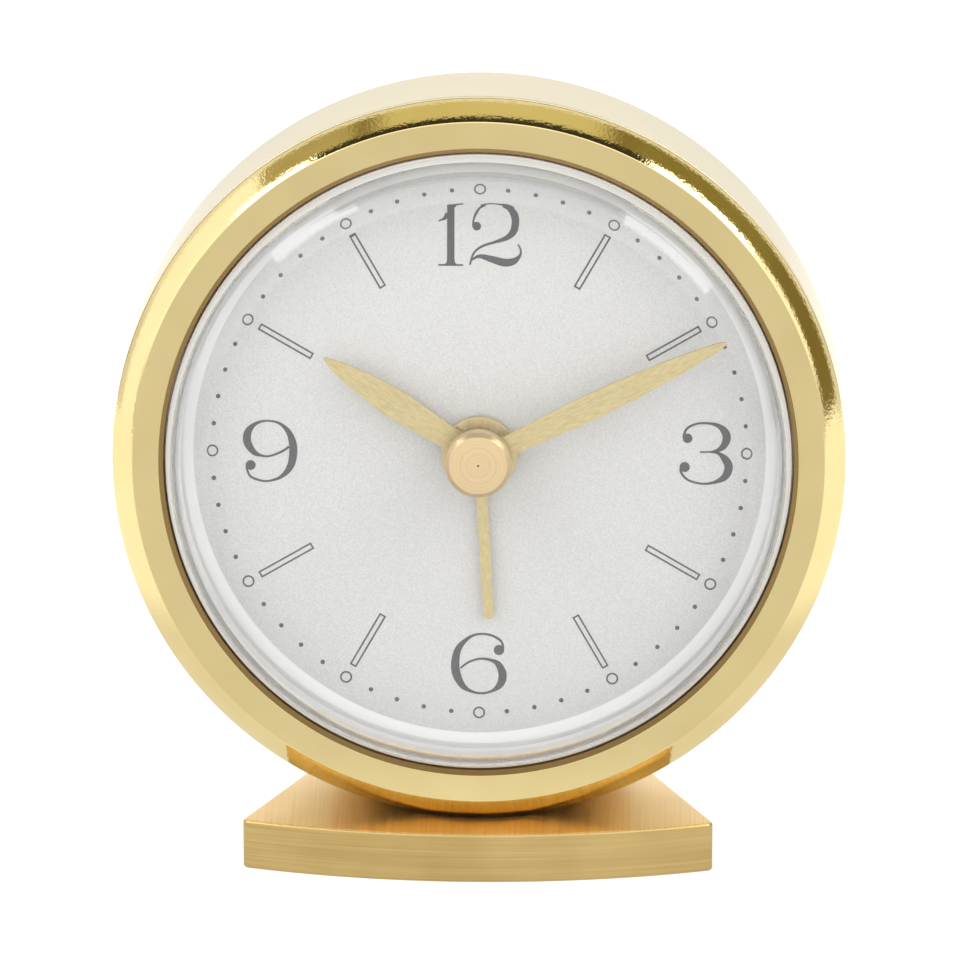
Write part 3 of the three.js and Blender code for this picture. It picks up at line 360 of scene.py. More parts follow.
def turned(profile, segments=ROUND):
    """Mesh of a body of revolution from a profile of (radius, height) that climbs on its outer side"""
    vertices, rings, faces = [], [], []
    for radius, height in profile:
        count = segments if radius > 0 else 1
        first = len(vertices)
        vertices += [
            (radius * math.cos(TAU * k / segments), radius * math.sin(TAU * k / segments), height)
            for k in range(count)
        ]
        rings.append([first + k % count for k in range(segments)])
    if profile[0][0] > 0:
        rings.append(rings[0])
    for low, high in zip(rings, rings[1:]):
        for k in range(segments):
            n = (k + 1) % segments
            corners = dict.fromkeys((low[k], low[n], high[n], high[k]))
            if len(corners) > 2:
                faces.append(list(corners))
    return vertices, faces


def stacked(layers):
    """Closed body through outlines of as many points, each with its height, from the lowest up"""
    count = len(layers[0][0])
    vertices = [(x, y, height) for outline, height in layers for x, y in outline]
    faces = [list(range(count - 1, -1, -1)), list(range(len(vertices) - count, len(vertices)))]
    for first in range(0, len(vertices) - count, count):
        for k in range(count):
            n = (k + 1) % count
            faces.append([first + k, first + n, first + count + n, first + count + k])
    return vertices, faces


def prism(outline, low, high):
    """Closed slab from an outline that runs anticlockwise"""
    return stacked([(outline, low), (outline, high)])


def band(outline, hole, low, high):
    """Closed slab between an outline and a hole of as many points"""
    count = len(outline)
    rings = [(outline, low), (outline, high), (hole, high), (hole, low)]
    vertices = [(x, y, height) for loop, height in rings for x, y in loop]
    faces = []
    for ring in range(4):
        here, there = ring * count, (ring + 1) % 4 * count
        for k in range(count):
            n = (k + 1) % count
            faces.append([here + k, here + n, there + n, there + k])
    return vertices, faces


def smooth(points):
    """Points of a Catmull-Rom curve through the given ones"""
    ends = [points[0], *points, points[-1]]
    curve = []
    for around in zip(ends, ends[1:], ends[2:], ends[3:]):
        for step in range(CURVE_STEPS):
            t = step / CURVE_STEPS
            curve.append([
                b + (
                    (c - a) * t
                    + (2 * a - 5 * b + 4 * c - d) * t ** 2
                    + (3 * b - a - 3 * c + d) * t ** 3
                ) / 2
                for a, b, c, d in zip(*around)
            ])
    return [*curve, points[-1]]


def ribbon(stroke, low, high):
    """Closed strip of changing width along points of (x, y, width)"""
    vertices, faces = [], []
    last = len(stroke) - 1
    for i, (x, y, wide) in enumerate(stroke):
        before, after = stroke[max(i - 1, 0)], stroke[min(i + 1, last)]
        along = Vector((after[0] - before[0], after[1] - before[1])).normalized()
        side = Vector((-along.y, along.x)) * wide / 2
        for height in (low, high):
            vertices += [(x - side.x, y - side.y, height), (x + side.x, y + side.y, height)]
    for here in range(0, 4 * last, 4):
        next_ = here + 4
        faces += [
            [here + 2, next_ + 2, next_ + 3, here + 3],
            [here, here + 1, next_ + 1, next_],
            [here, next_, next_ + 2, here + 2],
            [here + 1, here + 3, next_ + 3, next_ + 1],
        ]
    end = 4 * last
    return vertices, faces + [[0, 2, 3, 1], [end, end + 1, end + 3, end + 2]]


def joined(*meshes):
    vertices, faces = [], []
    for more_vertices, more_faces in meshes:
        first = len(vertices)
        vertices += more_vertices
        faces += [[first + i for i in face] for face in more_faces]
    return vertices, faces


def moved(shape, matrix):
    return [tuple(matrix @ Vector(v)) for v in shape[0]], shape[1]


def solid(name, shape):
    """New object from a shape in mm"""
    mesh = bpy.data.meshes.new(name)
    mesh.from_pydata([Vector(v) * MM for v in shape[0]], [], shape[1])
    mesh.validate()
    made = bpy.data.objects.new(name, mesh)
    bpy.context.scene.collection.objects.link(made)
    return made


def carve(block, *cutters):
    """Take shapes out of an object, after any bevel that it has"""
    tool = solid("tool", joined(*cutters))
    cut = block.modifiers.new("cut", "BOOLEAN")
    cut.operation = "DIFFERENCE"
    cut.solver = "EXACT"
    cut.use_self = True
    cut.object = tool
    depsgraph = bpy.context.evaluated_depsgraph_get()
    plain = block.data
    block.data = bpy.data.meshes.new_from_object(block.evaluated_get(depsgraph))
    block.modifiers.clear()
    bpy.data.meshes.remove(plain)
    bpy.data.meshes.remove(tool.data)
    return block


def bevel(block, width):
    edge = block.modifiers.new("edge", "BEVEL")
    edge.width = width * MM
    edge.segments = BEVEL_STEPS
    edge.limit_method = "ANGLE"
    edge.angle_limit = math.radians(BEVEL_LIMIT_DEG)
    return block


def dress(made, slot_name, stands_for=None, body="case", place=HEAD, look=None):
    """Give an object its look, which is its slot's unless another is given, its place and its body"""
    made.data.shade_smooth()
    made.data.set_sharp_from_angle(angle=math.radians(SMOOTH_DEG))
    made.data.materials.clear()
    made.data.materials.append(look or LOOKS[slot_name])
    made.matrix_world = place
    weighted = made.modifiers.new("even_normals", "WEIGHTED_NORMAL")
    weighted.keep_sharp = True
    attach(made, body)
    if stands_for:
        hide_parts(stands_for)


# Materials

SOCKETS = {"ior": "IOR"}
FINE_GRAIN = 9000  # noise scale, per metre
ROUGH_SPREAD = 0.08


class Nodes:
    """A node tree, with short calls to add nodes and join them"""

    def __init__(self, tree):
        self.tree = tree

    def feed(self, socket, value):
        if isinstance(value, bpy.types.NodeSocket):
            self.tree.links.new(value, socket)
        else:
            socket.default_value = value

    def add(self, kind, inputs=None, **settings):
        node = self.tree.nodes.new(kind)
        for key, value in settings.items():
            setattr(node, key, value)
        for key, value in (inputs or {}).items():
            self.feed(node.inputs[key], value)
        return node

    def math(self, operation, first, second=0.0):
        node = self.add("ShaderNodeMath", {0: first, 1: second}, operation=operation)
        return node.outputs["Value"]

    def split(self, vector):
        node = self.add("ShaderNodeSeparateXYZ", {"Vector": vector})
        return node.outputs["X"], node.outputs["Y"], node.outputs["Z"]

    def combine(self, x=0.0, y=0.0, z=0.0):
        return self.add("ShaderNodeCombineXYZ", {"X": x, "Y": y, "Z": z}).outputs["Vector"]

    def noise(self, where, scale, detail=2.0, roughness=0.5):
        inputs = {"Vector": where, "Scale": scale, "Detail": detail, "Roughness": roughness}
        return self.add("ShaderNodeTexNoise", inputs).outputs["Fac"]

    def ramp(self, value, *stops):
        node = self.add("ShaderNodeValToRGB", {"Fac": value})
        elements = node.color_ramp.elements
        elements[0].position, elements[1].position = stops[0][0], stops[-1][0]
        for position, _ in stops[1:-1]:
            elements.new(position)
        for element, (_, colour) in zip(elements, stops):
            element.color = (*colour, 1) if isinstance(colour, tuple) else (*[colour] * 3, 1)
        return node.outputs["Color"]

    def mix(self, factor, first, second):
        node = self.add("ShaderNodeMix", {0: factor, 6: first, 7: second}, data_type="RGBA")
        return node.outputs[2]

    def times(self, colour, factor):
        node = self.add("ShaderNodeVectorMath", {0: colour, "Scale": factor}, operation="SCALE")
        return node.outputs["Vector"]

    def span(self, value, low, high, start=0.3, end=0.7, **settings):
        """A value from start to end, spread over a range"""
        inputs = {"Value": value, "From Min": start, "From Max": end, "To Min": low, "To Max": high}
        return self.add("ShaderNodeMapRange", inputs, **settings).outputs["Result"]

    def step(self, value, start, end):
        """0 before start, 1 after end"""
        return self.span(value, 0, 1, start, end, interpolation_type="SMOOTHSTEP")

    def between(self, value, low, high, soft):
        """1 from low to high, with soft ends"""
        rise = self.step(value, low - soft, low + soft)
        return self.math("SUBTRACT", rise, self.step(value, high - soft, high + soft))


class Look(Nodes):
    """One material's nodes"""

    def __init__(self, name):
        self.material = bpy.data.materials.new(name)
        self.material.use_nodes = True
        super().__init__(self.material.node_tree)
        self.shader = self.tree.nodes["Principled BSDF"]
        self.output = self.tree.nodes["Material Output"]
        where = self.add("ShaderNodeTexCoord")
        self.place = where.outputs["Object"]
        self.facing = where.outputs["Normal"]

    def set(self, **inputs):
        for key, value in inputs.items():
            self.feed(self.shader.inputs[SOCKETS.get(key, key.replace("_", " ").title())], value)

    def stretched(self, x, y, z):
        """Object coordinates, with the noise drawn out where the number is small"""
        node = self.add("ShaderNodeMapping", {"Vector": self.place, "Scale": (x, y, z)})
        return node.outputs["Vector"]

    def radius(self):
        """Distance from the object's own Z axis"""
        x, y, _ = self.split(self.place)
        node = self.add("ShaderNodeVectorMath", {0: self.combine(x, y)}, operation="LENGTH")
        return node.outputs["Value"]

    def bump(self, height, distance, strength=1.0):
        inputs = {"Height": height, "Distance": distance, "Strength": strength}
        return self.add("ShaderNodeBump", inputs).outputs["Normal"]


def satin_gold():
    look = Look("satin_gold")
    grain = look.noise(look.place, FINE_GRAIN, 3)
    drift = look.noise(look.place, 60, 2)
    look.set(
        base_color=look.ramp(drift, (0.3, (0.72, 0.645, 0.46)), (0.7, (0.77, 0.69, 0.49))),
        metallic=1.0,
        roughness=look.span(grain, 0.3, 0.42),
        normal=look.bump(grain, 0.00001, 0.5),
    )
    return look.material


def polished_gold():
    """Bright, with a rougher bore and inner bevel painted dark brown as painted shade, and a fine peel on all but
    the level face
    """
    look = Look("polished_gold")
    peel = look.noise(look.place, 3500, 2)
    smear = look.noise(look.place, 150, 3)
    plating = look.ramp(smear, (0.3, (0.66, 0.53, 0.25)), (0.7, (0.70, 0.57, 0.28)))
    # Painted shade: the bore and most of its bevel are painted dark brown, and made rougher
    painted_shade_bore = look.math("LESS_THAN", look.radius(), (BEZEL_BORE + BEZEL_BEVEL - BEZEL_SHADE_EASE) * MM)
    rough_edge = look.span(look.split(look.facing)[2], 1.0, 0.1, 0.9, 0.98)
    look.set(
        base_color=look.mix(painted_shade_bore, plating, (0.42, 0.29, 0.12, 1)),
        metallic=1.0,
        roughness=look.span(painted_shade_bore, look.span(smear, 0.04, 0.08), 0.3, 0, 1),
        normal=look.bump(peel, 0.00001, rough_edge),
    )
    return look.material


def brushed_gold():
    """Brushed front to back on its level face and along its length elsewhere; the level face is painted much
    lighter than the sides, painted light from above
    """
    look = Look("brushed_gold")
    level = look.math("GREATER_THAN", look.split(look.facing)[2], 0.7)
    along = look.noise(look.stretched(60, 60, 6000), 1, 3)
    across = look.noise(look.stretched(6000, 60, 6000), 1, 3)
    lines = look.mix(level, along, across)
    drift = look.noise(look.place, 120, 2)
    tone = look.mix(0.5, lines, drift)
    # Painted light: the level faces get a far lighter copy of the gold than the sides, standing in for light from
    # above
    edge = look.ramp(tone, (0.35, (0.41, 0.285, 0.10)), (0.65, (0.54, 0.39, 0.165)))
    lit_top_tone = look.ramp(tone, (0.35, (0.74, 0.515, 0.23)), (0.65, (0.93, 0.68, 0.34)))
    look.set(
        base_color=look.mix(level, edge, lit_top_tone),
        metallic=1.0,
        roughness=look.span(lines, 0.28, 0.36),
        normal=look.bump(lines, 0.000006, 0.5),
    )
    return look.material


def hand_gold():
    look = Look("hand_gold")
    lines = look.noise(look.stretched(7000, 1400, 7000), 1, 3)
    look.set(
        base_color=look.ramp(lines, (0.3, (0.54, 0.435, 0.205)), (0.7, (0.68, 0.575, 0.305))),
        metallic=1.0,
        roughness=look.span(lines, 0.34, 0.5),
        normal=look.bump(lines, 0.00001, 0.5),
    )
    return look.material


def cap_gold():
    """Turned face with a dark mark at its centre"""
    look = Look("cap_gold")
    rings = look.noise(look.combine(look.radius()), 7000, 3)
    turned_face = look.ramp(rings, (0.3, (0.64, 0.475, 0.245)), (0.7, (0.81, 0.61, 0.335)))
    mark = look.math("LESS_THAN", look.radius(), CAP_DIMPLE * MM)
    look.set(
        base_color=look.mix(mark, turned_face, (0.12, 0.08, 0.03, 1)),
        metallic=1.0,
        roughness=look.span(rings, 0.3, 0.4),
        normal=look.bump(rings, 0.000004, 0.5),
    )
    return look.material


def silver_dial():
    """Fine grain, with painted light that makes it lighter upward, and a pale rim of painted light under the
    crystal's wall
    """
    look = Look("silver_dial")
    grain = look.noise(look.place, FINE_GRAIN, 3)
    # Painted light: the dial's colour grows lighter upward, standing in for the way light falls across it
    painted_light_climb = look.math("MULTIPLY", look.split(look.place)[1], 8.0)
    tone = look.math("ADD", look.span(grain, 0.15, 0.85), painted_light_climb)
    face = look.ramp(tone, (0.2, (0.61, 0.607, 0.595)), (0.8, (0.755, 0.752, 0.738)))
    # Painted light: a pale ring under the crystal's wall stands in for light that the wall carries down onto the
    # dial
    rim = look.step(look.radius(), *(edge * MM for edge in DIAL_PAINTED_LIGHT_RIM))
    look.set(
        base_color=look.mix(rim, face, (0.95, 0.95, 0.94, 1)),
        metallic=0.1,
        roughness=look.span(grain, 0.45, 0.6),
        normal=look.bump(grain, 0.000008, 0.5),
    )
    return look.material


def dial_ink():
    look = Look("dial_ink")
    blot = look.noise(look.place, 5000, 2)
    look.set(
        base_color=look.ramp(blot, (0.3, (0.07, 0.07, 0.073)), (0.7, (0.1, 0.1, 0.104))),
        roughness=look.span(blot, 0.5, 0.65),
    )
    return look.material


def clear():
    """Polished, with a ground wall and foot where it sits in the bezel; the ground wall is painted greyer above
    the bezel's face, a painted shade
    """
    look = Look("clear")
    smear = look.noise(look.place, 70, 3)
    look.set(base_color=(1, 1, 1, 1), transmission_weight=1.0, ior=1.49)
    look.set(roughness=look.span(smear, 0.0, 0.015))
    height = look.split(look.place)[2]
    wall = look.math("GREATER_THAN", look.radius(), (CRYSTAL_RADIUS - CRYSTAL_GROUND) * MM)
    foot = look.math("LESS_THAN", height, (CRYSTAL_BACK + CRYSTAL_GROUND_FOOT) * MM)
    # Painted shade: the ground band is painted grey where it stands above the bezel's face
    rise = look.step(height, (BEZEL_FACE - CRYSTAL_GROUND) * MM, BEZEL_FACE * MM)
    tone = look.mix(rise, (0.93, 0.93, 0.92, 1), (0.55, 0.55, 0.54, 1))
    ground = look.add("ShaderNodeBsdfDiffuse", {"Color": tone}).outputs["BSDF"]
    seat = look.math("MAXIMUM", wall, foot)
    polished = look.shader.outputs["BSDF"]
    lens = look.add("ShaderNodeMixShader", {0: seat, 1: polished, 2: ground}).outputs["Shader"]
    shadow = look.add("ShaderNodeLightPath").outputs["Is Shadow Ray"]
    through = look.add("ShaderNodeBsdfTransparent").outputs["BSDF"]
    both = look.add("ShaderNodeMixShader", {0: shadow, 1: lens, 2: through})
    look.feed(look.output.inputs["Surface"], both.outputs["Shader"])
    return look.material


def moulded(name, dark, light, rough, grain_size):
    look = Look(name)
    grain = look.noise(look.place, 1 / (grain_size * MM), 3)
    look.set(
        base_color=look.ramp(grain, (0.3, dark), (0.7, light)),
        roughness=look.span(grain, rough - ROUGH_SPREAD, rough + ROUGH_SPREAD),
        normal=look.bump(grain, 0.00003, 0.4),
    )
    return look.material


def machined(name, dark, light, rough):
    look = Look(name)
    lines = look.noise(look.stretched(9000, 1200, 9000), 1, 3)
    look.set(
        base_color=look.ramp(lines, (0.3, dark), (0.7, light)),
        metallic=1.0,
        roughness=look.span(lines, rough - ROUGH_SPREAD, rough + ROUGH_SPREAD),
        normal=look.bump(lines, 0.00001, 0.4),
    )
    return look.material


LOOKS = {
    "satin_gold": satin_gold(),
    "polished_gold": polished_gold(),
    "brushed_gold": brushed_gold(),
    "hand_gold": hand_gold(),
    "silver_dial": silver_dial(),
    "clear": clear(),
    "black_plastic": moulded("black_plastic", (0.018, 0.018, 0.019), (0.03, 0.03, 0.032), 0.5, 0.25),
    "white_plastic": moulded("white_plastic", (0.74, 0.74, 0.70), (0.82, 0.82, 0.78), 0.35, 0.4),
    "brass": machined("brass", (0.44, 0.29, 0.06), (0.56, 0.39, 0.11), 0.3),
    "steel": machined("steel", (0.46, 0.48, 0.50), (0.6, 0.62, 0.64), 0.3),
    "copper": machined("copper", (0.36, 0.10, 0.03), (0.46, 0.16, 0.06), 0.35),
    "board": moulded("board", (0.015, 0.09, 0.03), (0.03, 0.13, 0.05), 0.4, 0.3),
}
CAP_LOOK = cap_gold()
INK = dial_ink()


def dress_frame():
    """Each CAD node gets the look of its material slot"""
    for entry in frame["record"]["subparts"]:
        for material_slot in frame["nodes"][entry["node"]].material_slots:
            material_slot.material = LOOKS[entry["material_slot"]]


# Case


def add_drum():
    profile = rounded([
        (DRUM_BORE, 0, DRUM_BORE_ROUND),
        (DRUM_RADIUS - DRUM_EDGE, 0, DRUM_REAR_ROUND),
        (DRUM_RADIUS, DRUM_EDGE, DRUM_REAR_ROUND),
        (DRUM_RADIUS, DRUM_LENGTH, DRUM_FRONT_ROUND),
        (DRUM_BORE, DRUM_LENGTH, DRUM_BORE_ROUND),
        (DRUM_BORE, SHOULDER_TOP, 0),
        (SHOULDER_BORE, SHOULDER_TOP, DRUM_BORE_ROUND),
        (SHOULDER_BORE, SHOULDER_BACK, DRUM_BORE_ROUND),
        (DRUM_BORE, SHOULDER_BACK, 0),
    ])
    dress(solid("drum", turned(profile)), "satin_gold", "drum_case")


def add_bezel():
    edge, rim = (DRUM_RADIUS, BEZEL_EDGE), (SEAT_RADIUS, BEZEL_FACE)
    profile = rounded([
        (BEZEL_SLEEVE, BEZEL_SLEEVE_BACK, EDGE_ROUND),
        (SEAT_RADIUS, BEZEL_SLEEVE_BACK, EDGE_ROUND),
        (SEAT_RADIUS, BEZEL_BACK, 0),
        (DRUM_RADIUS, BEZEL_BACK, BEZEL_BACK_ROUND),
        (*edge, BEZEL_EDGE_ROUND),
        *[(x, y, 0) for x, y in crowned(edge, rim, CHAMFER_CROWN_DEG)],
        (*rim, BEZEL_RIM_ROUND),
        (BEZEL_BORE + BEZEL_BEVEL, BEZEL_FACE, EDGE_ROUND),
        (BEZEL_BORE, BEZEL_FACE - BEZEL_BEVEL, EDGE_ROUND),
        (BEZEL_BORE, BEZEL_SEAT, EDGE_ROUND),
        (BEZEL_SLEEVE, BEZEL_SEAT, 0),
    ])
    dress(solid("bezel_ring", turned(profile, 2 * ROUND)), "polished_gold", "bezel")


def add_crystal():
    inner = CRYSTAL_RADIUS - CRYSTAL_WALL
    ceiling = CRYSTAL_TOP - CRYSTAL_WALL
    outer_round = (CRYSTAL_RADIUS - CRYSTAL_SHOULDER, CRYSTAL_TOP - CRYSTAL_SHOULDER)
    inner_round = (inner - CRYSTAL_INNER_ROUND, ceiling - CRYSTAL_INNER_ROUND)
    profile = [
        (0, ceiling),
        *arc(inner_round, CRYSTAL_INNER_ROUND, 90, 0, CRYSTAL_INNER_STEPS),
        (inner, CRYSTAL_BACK),
        (CRYSTAL_FLANGE, CRYSTAL_BACK),
        (CRYSTAL_FLANGE, CRYSTAL_FLANGE_TOP),
        (CRYSTAL_RADIUS, CRYSTAL_FLANGE_TOP),
        *arc(outer_round, CRYSTAL_SHOULDER, 0, 90, CRYSTAL_OUTER_STEPS),
        (0, CRYSTAL_TOP),
    ]
    dress(solid("crystal_lens", turned(profile)), "clear", "crystal")


# Foot


def base_outline():
    """Bowed front, rounded corners and sides that taper to the back"""
    half = BASE_WIDTH / 2
    back = BASE_DEPTH / 2
    corner = -back + BASE_BOW
    taper = (back - corner) * math.tan(math.radians(BASE_SIDE_DEG))
    radius = (half ** 2 + BASE_BOW ** 2) / (2 * BASE_BOW)
    spread = math.degrees(math.asin(half / radius))
    front = arc((0, -back + radius), radius, -90 - spread, -90 + spread, BOW_STEPS)
    corners = [(-half + taper, back, BASE_CORNER), (*front[0], BASE_CORNER)]
    corners += [(x, y, 0) for x, y in front[1:-1]]
    corners += [(*front[-1], BASE_CORNER), (half - taper, back, BASE_CORNER)]
    return rounded(corners)


def screw_places():
    """Under the middle of the drum's inner shoulder"""
    seat = HEAD @ (Vector((0, -DRUM_RADIUS, (SHOULDER_BACK + SHOULDER_TOP) / 2)) * MM) / MM
    return [(side * SCREW_SPREAD, seat.y) for side in (-1, 1)]


def add_base():
    head_mm = Matrix.Translation(HEAD.translation / MM) @ HEAD.to_3x3().to_4x4()
    drum = prism(circle(SADDLE_RADIUS, count=2 * ROUND), -BASE_DEPTH, 2 * BASE_DEPTH)
    depth = SCREW_RECESS + SCREW_HEAD_HEIGHT + SEAT_GAP
    holes = []
    for place in screw_places():
        wide, narrow = (circle(radius + SEAT_GAP, place) for radius in (SCREW_HEAD, SCREW_RADIUS))
        layers = [(wide, -CUT_OVERRUN), (wide, depth), (narrow, depth), (narrow, BASE_HEIGHT)]
        holes.append(stacked(layers))
    block = bevel(solid("foot", prism(base_outline(), 0, BASE_HEIGHT)), BASE_EDGE)
    foot = carve(block, moved(drum, head_mm), *holes)
    dress(foot, "brushed_gold", "base", place=Matrix.Identity(4))


def add_base_screws():
    """Pan heads with a cross slot"""
    low, under = SCREW_RECESS, SCREW_RECESS + SCREW_HEAD_HEIGHT
    profile = rounded([
        (0, low, 0),
        (SCREW_HEAD, low, SCREW_HEAD_ROUND),
        (SCREW_HEAD, under, EDGE_ROUND),
        (SCREW_RADIUS, under, 0),
        (SCREW_RADIUS, SCREW_TOP, SCREW_END_ROUND),
        (0, SCREW_TOP, 0),
    ])
    cross = [
        prism(slot((0, 0), *SCREW_CROSS, upright), low - CUT_OVERRUN, low + depth)
        for upright, depth in zip((False, True), SCREW_CROSS_DEPTHS)
    ]
    for name, (x, y) in zip(("base_screw_left", "base_screw_right"), screw_places()):
        made = carve(solid(name + "_head", turned(profile, FINE)), *cross)
        dress(made, "steel", name, place=Matrix.Translation(Vector((x, y, 0)) * MM))


# Hands


def leaf(length, widths):
    """Outline of a leaf blade from its widths along its length, from the axis to its tip and back"""
    side = [(wide / 2, length * part) for part, wide in smooth(widths)]
    return side + [(-x, y) for x, y in reversed(side)]


def bar(length, wide, tip):
    """Outline of a straight blade with a round tip"""
    return [(wide / 2, 0), *arc((0, length - tip / 2), tip / 2, 0, 180, ARC_STEPS), (-wide / 2, 0)]


def hub_profile(hub, bore, back, lip=None):
    """Ring round a pipe, with a lip that closes in over the pipe's end where one is given"""
    front = back + HUB_THICKNESS
    profile = [(bore, back, 0), (hub, back, HUB_ROUND)]
    if lip:
        under = front + HUB_LIP_GAP
        over = under + HUB_LIP
        profile += [(hub, over, HUB_ROUND), (lip, over, HUB_ROUND), (lip, under, 0), (bore, under, 0)]
    else:
        profile += [(hub, front, HUB_ROUND), (bore, front, 0)]
    return rounded(profile)


def add_hands():
    for name, spec in HANDS.items():
        if "leaf" in spec:
            outline = leaf(spec["length"], spec["leaf"])
        else:
            outline = bar(spec["length"], spec["wide"], spec["tip"])
        low = spec["back"] + (HUB_THICKNESS - HAND_THICKNESS) / 2
        blade = prism(outline, low, low + HAND_THICKNESS)
        hub = turned(hub_profile(spec["hub"], spec["bore"], spec["back"], spec.get("lip")), 2 * FINE)
        place = HEAD @ Matrix.Rotation(-math.radians(spec["clock"]), 4, "Z")
        made = solid(name + "_blade", joined(blade, hub))
        dress(made, "hand_gold", name, spec["body"], place)


def add_cap():
    profile = [
        (0, CAP_FRONT - CAP_WALL),
        (CAP_BORE, CAP_FRONT - CAP_WALL),
        (CAP_BORE, CAP_BACK),
        *rounded([
            (CAP_RADIUS, CAP_BACK, CAP_BACK_ROUND),
            (CAP_RADIUS, CAP_FRONT - CAP_CHAMFER, EDGE_ROUND),
            (CAP_RADIUS - CAP_CHAMFER, CAP_FRONT, EDGE_ROUND),
            (CAP_DIMPLE, CAP_FRONT, 0),
        ]),
        (0, CAP_FRONT - CAP_DIMPLE),
    ]
    made = solid("cap", turned(profile, 2 * FINE))
    dress(made, "hand_gold", "centre_cap", "minute", look=CAP_LOOK)


# Dial


def add_dial():
    profile = rounded([
        (DIAL_HOLE, DIAL_BACK, 0),
        (SEAT_RADIUS, DIAL_BACK, EDGE_ROUND),
        (SEAT_RADIUS, DIAL_FRONT, EDGE_ROUND),
        (DIAL_HOLE, DIAL_FRONT, EDGE_ROUND),
    ])
    dress(solid("dial_disc", turned(profile)), "silver_dial", "dial")


def on_dial(clock_deg, radius):
    """A place on the dial, its angle running clockwise from the top"""
    angle = math.radians(clock_deg)
    return radius * math.sin(angle), radius * math.cos(angle)


def add_print(name, shapes):
    dress(solid(name, joined(*shapes)), "silver_dial", look=INK)


def add_track():
    dots, rings = [], []
    for minute in range(60):
        place = on_dial(6 * minute, TRACK_RADIUS)
        if minute % 5:
            dots.append(prism(circle(TRACK_DOT, place, DOT_SIDES), DIAL_FRONT, PRINT_TOP))
        else:
            outer, inner = circle(HOUR_RING, place), circle(HOUR_RING - LINE, place)
            rings.append(band(outer, inner, DIAL_FRONT, PRINT_TOP))
    add_print("minute_dots", dots)
    add_print("hour_rings", rings)


def add_bars():
    def box(inset, turn):
        half = BAR_WIDTH / 2 - inset
        low, high = BAR_INNER + inset, BAR_OUTER - inset
        corners = (half, low), (half, high), (-half, high), (-half, low)
        return [turn @ Vector(corner) for corner in corners]

    bars = []
    for hour in BAR_HOURS:
        turn = Matrix.Rotation(-math.radians(30 * hour), 2)
        bars.append(band(box(0, turn), box(LINE, turn), DIAL_FRONT, PRINT_TOP))
    add_print("hour_bars", bars)


def add_figures():
    """Strokes and balls end at heights a hair apart, so that their tops don't share a plane"""
    scale = FIGURE_HEIGHT / 100
    shapes = []
    for figure in FIGURES.values():
        x, y = figure["at"]
        left, foot = x - figure["wide"] * scale / 2, y - FIGURE_HEIGHT / 2
        for stroke in figure["strokes"]:
            high = PRINT_TOP + PRINT_STEP * len(shapes)
            points = [(left + px * scale, foot + py * scale, wide * scale) for px, py, wide in stroke]
            shapes.append(ribbon(smooth(points), DIAL_FRONT, high))
        for px, py, radius in figure["balls"]:
            high = PRINT_TOP + PRINT_STEP * len(shapes)
            ball = circle(radius * scale, (left + px * scale, foot + py * scale))
            shapes.append(prism(ball, DIAL_FRONT, high))
    add_print("figures", shapes)


# Back


def door_opening(place):
    """Round hole with two notches that the door's lugs pass"""
    inner, outer = DOOR_RADIUS + SEAT_GAP, DOOR_RADIUS + DOOR_LUG + SEAT_GAP
    half = DOOR_LUG_HALF_DEG + DOOR_NOTCH_EASE_DEG
    outline = []
    for notch in (DOOR_NOTCH_DEG, DOOR_NOTCH_DEG + 180):
        outline += arc(place, inner, notch - 180 + half, notch - half, DOOR_STEPS)
        outline += arc(place, outer, notch - half, notch + half, ARC_STEPS)
    return outline


def add_rear_cover():
    profile = rounded([
        (0, COVER_BACK, 0),
        (COVER_RADIUS, COVER_BACK, COVER_EDGE_ROUND),
        (COVER_RADIUS, COVER_FRONT, COVER_ROUND),
        (SEAT_RADIUS, COVER_FRONT, 0),
        (SEAT_RADIUS, COVER_SPIGOT_TOP, COVER_ROUND),
        (COVER_SPIGOT, COVER_SPIGOT_TOP, COVER_ROUND),
        (COVER_SPIGOT, COVER_FRONT, 0),
        (0, COVER_FRONT, 0),
    ])
    x, y = BUZZER_PLACE
    rises = [(k - (SOUND_SLOTS - 1) / 2) * SOUND_PITCH for k in range(SOUND_SLOTS)]
    outlines = [slot((x, y + rise), *SOUND_SLOT) for rise in rises]
    outlines += [circle(STEM_RADIUS + RUN_GAP, on_head(knob["joint"])) for knob in KNOBS.values()]
    outlines.append(slot(SLIDE_PLACE, SLIDE_SLOT[1], SLIDE_SLOT[0], True))
    outlines.append(door_opening(on_head("battery_door_turn")))
    low, high = COVER_BACK - CUT_OVERRUN, COVER_FRONT + CUT_OVERRUN
    openings = [prism(outline, low, high) for outline in outlines]
    dress(carve(solid("cover", turned(profile)), *openings), "black_plastic", "rear_cover")


def ridged(inset):
    """Outline of a knob with round ridges"""
    outline = []
    for k in range(RIDGE_STEPS * KNOB_RIDGES):
        angle = TAU * k / (RIDGE_STEPS * KNOB_RIDGES)
        radius = KNOB_RADIUS - inset - KNOB_RIDGE_DEPTH * (1 - math.cos(KNOB_RIDGES * angle)) / 2
        outline.append((radius * math.cos(angle), radius * math.sin(angle)))
    return outline


def add_knobs():
    count = RIDGE_STEPS * KNOB_RIDGES
    layers = [(circle(radius, count=count), KNOB_BACK + depth) for radius, depth in KNOB_DISH]
    layers += [(ridged(inset), KNOB_BACK + depth) for inset, depth in KNOB_EDGE]
    layers += [(ridged(inset), KNOB_FRONT - distance) for inset, distance in KNOB_NECK]
    for name, knob in KNOBS.items():
        place = HEAD @ Matrix.Translation(Vector((*on_head(knob["joint"]), 0)) * MM)
        made = solid(name + "_cap", stacked(layers))
        dress(made, "black_plastic", name, knob["body"], place)


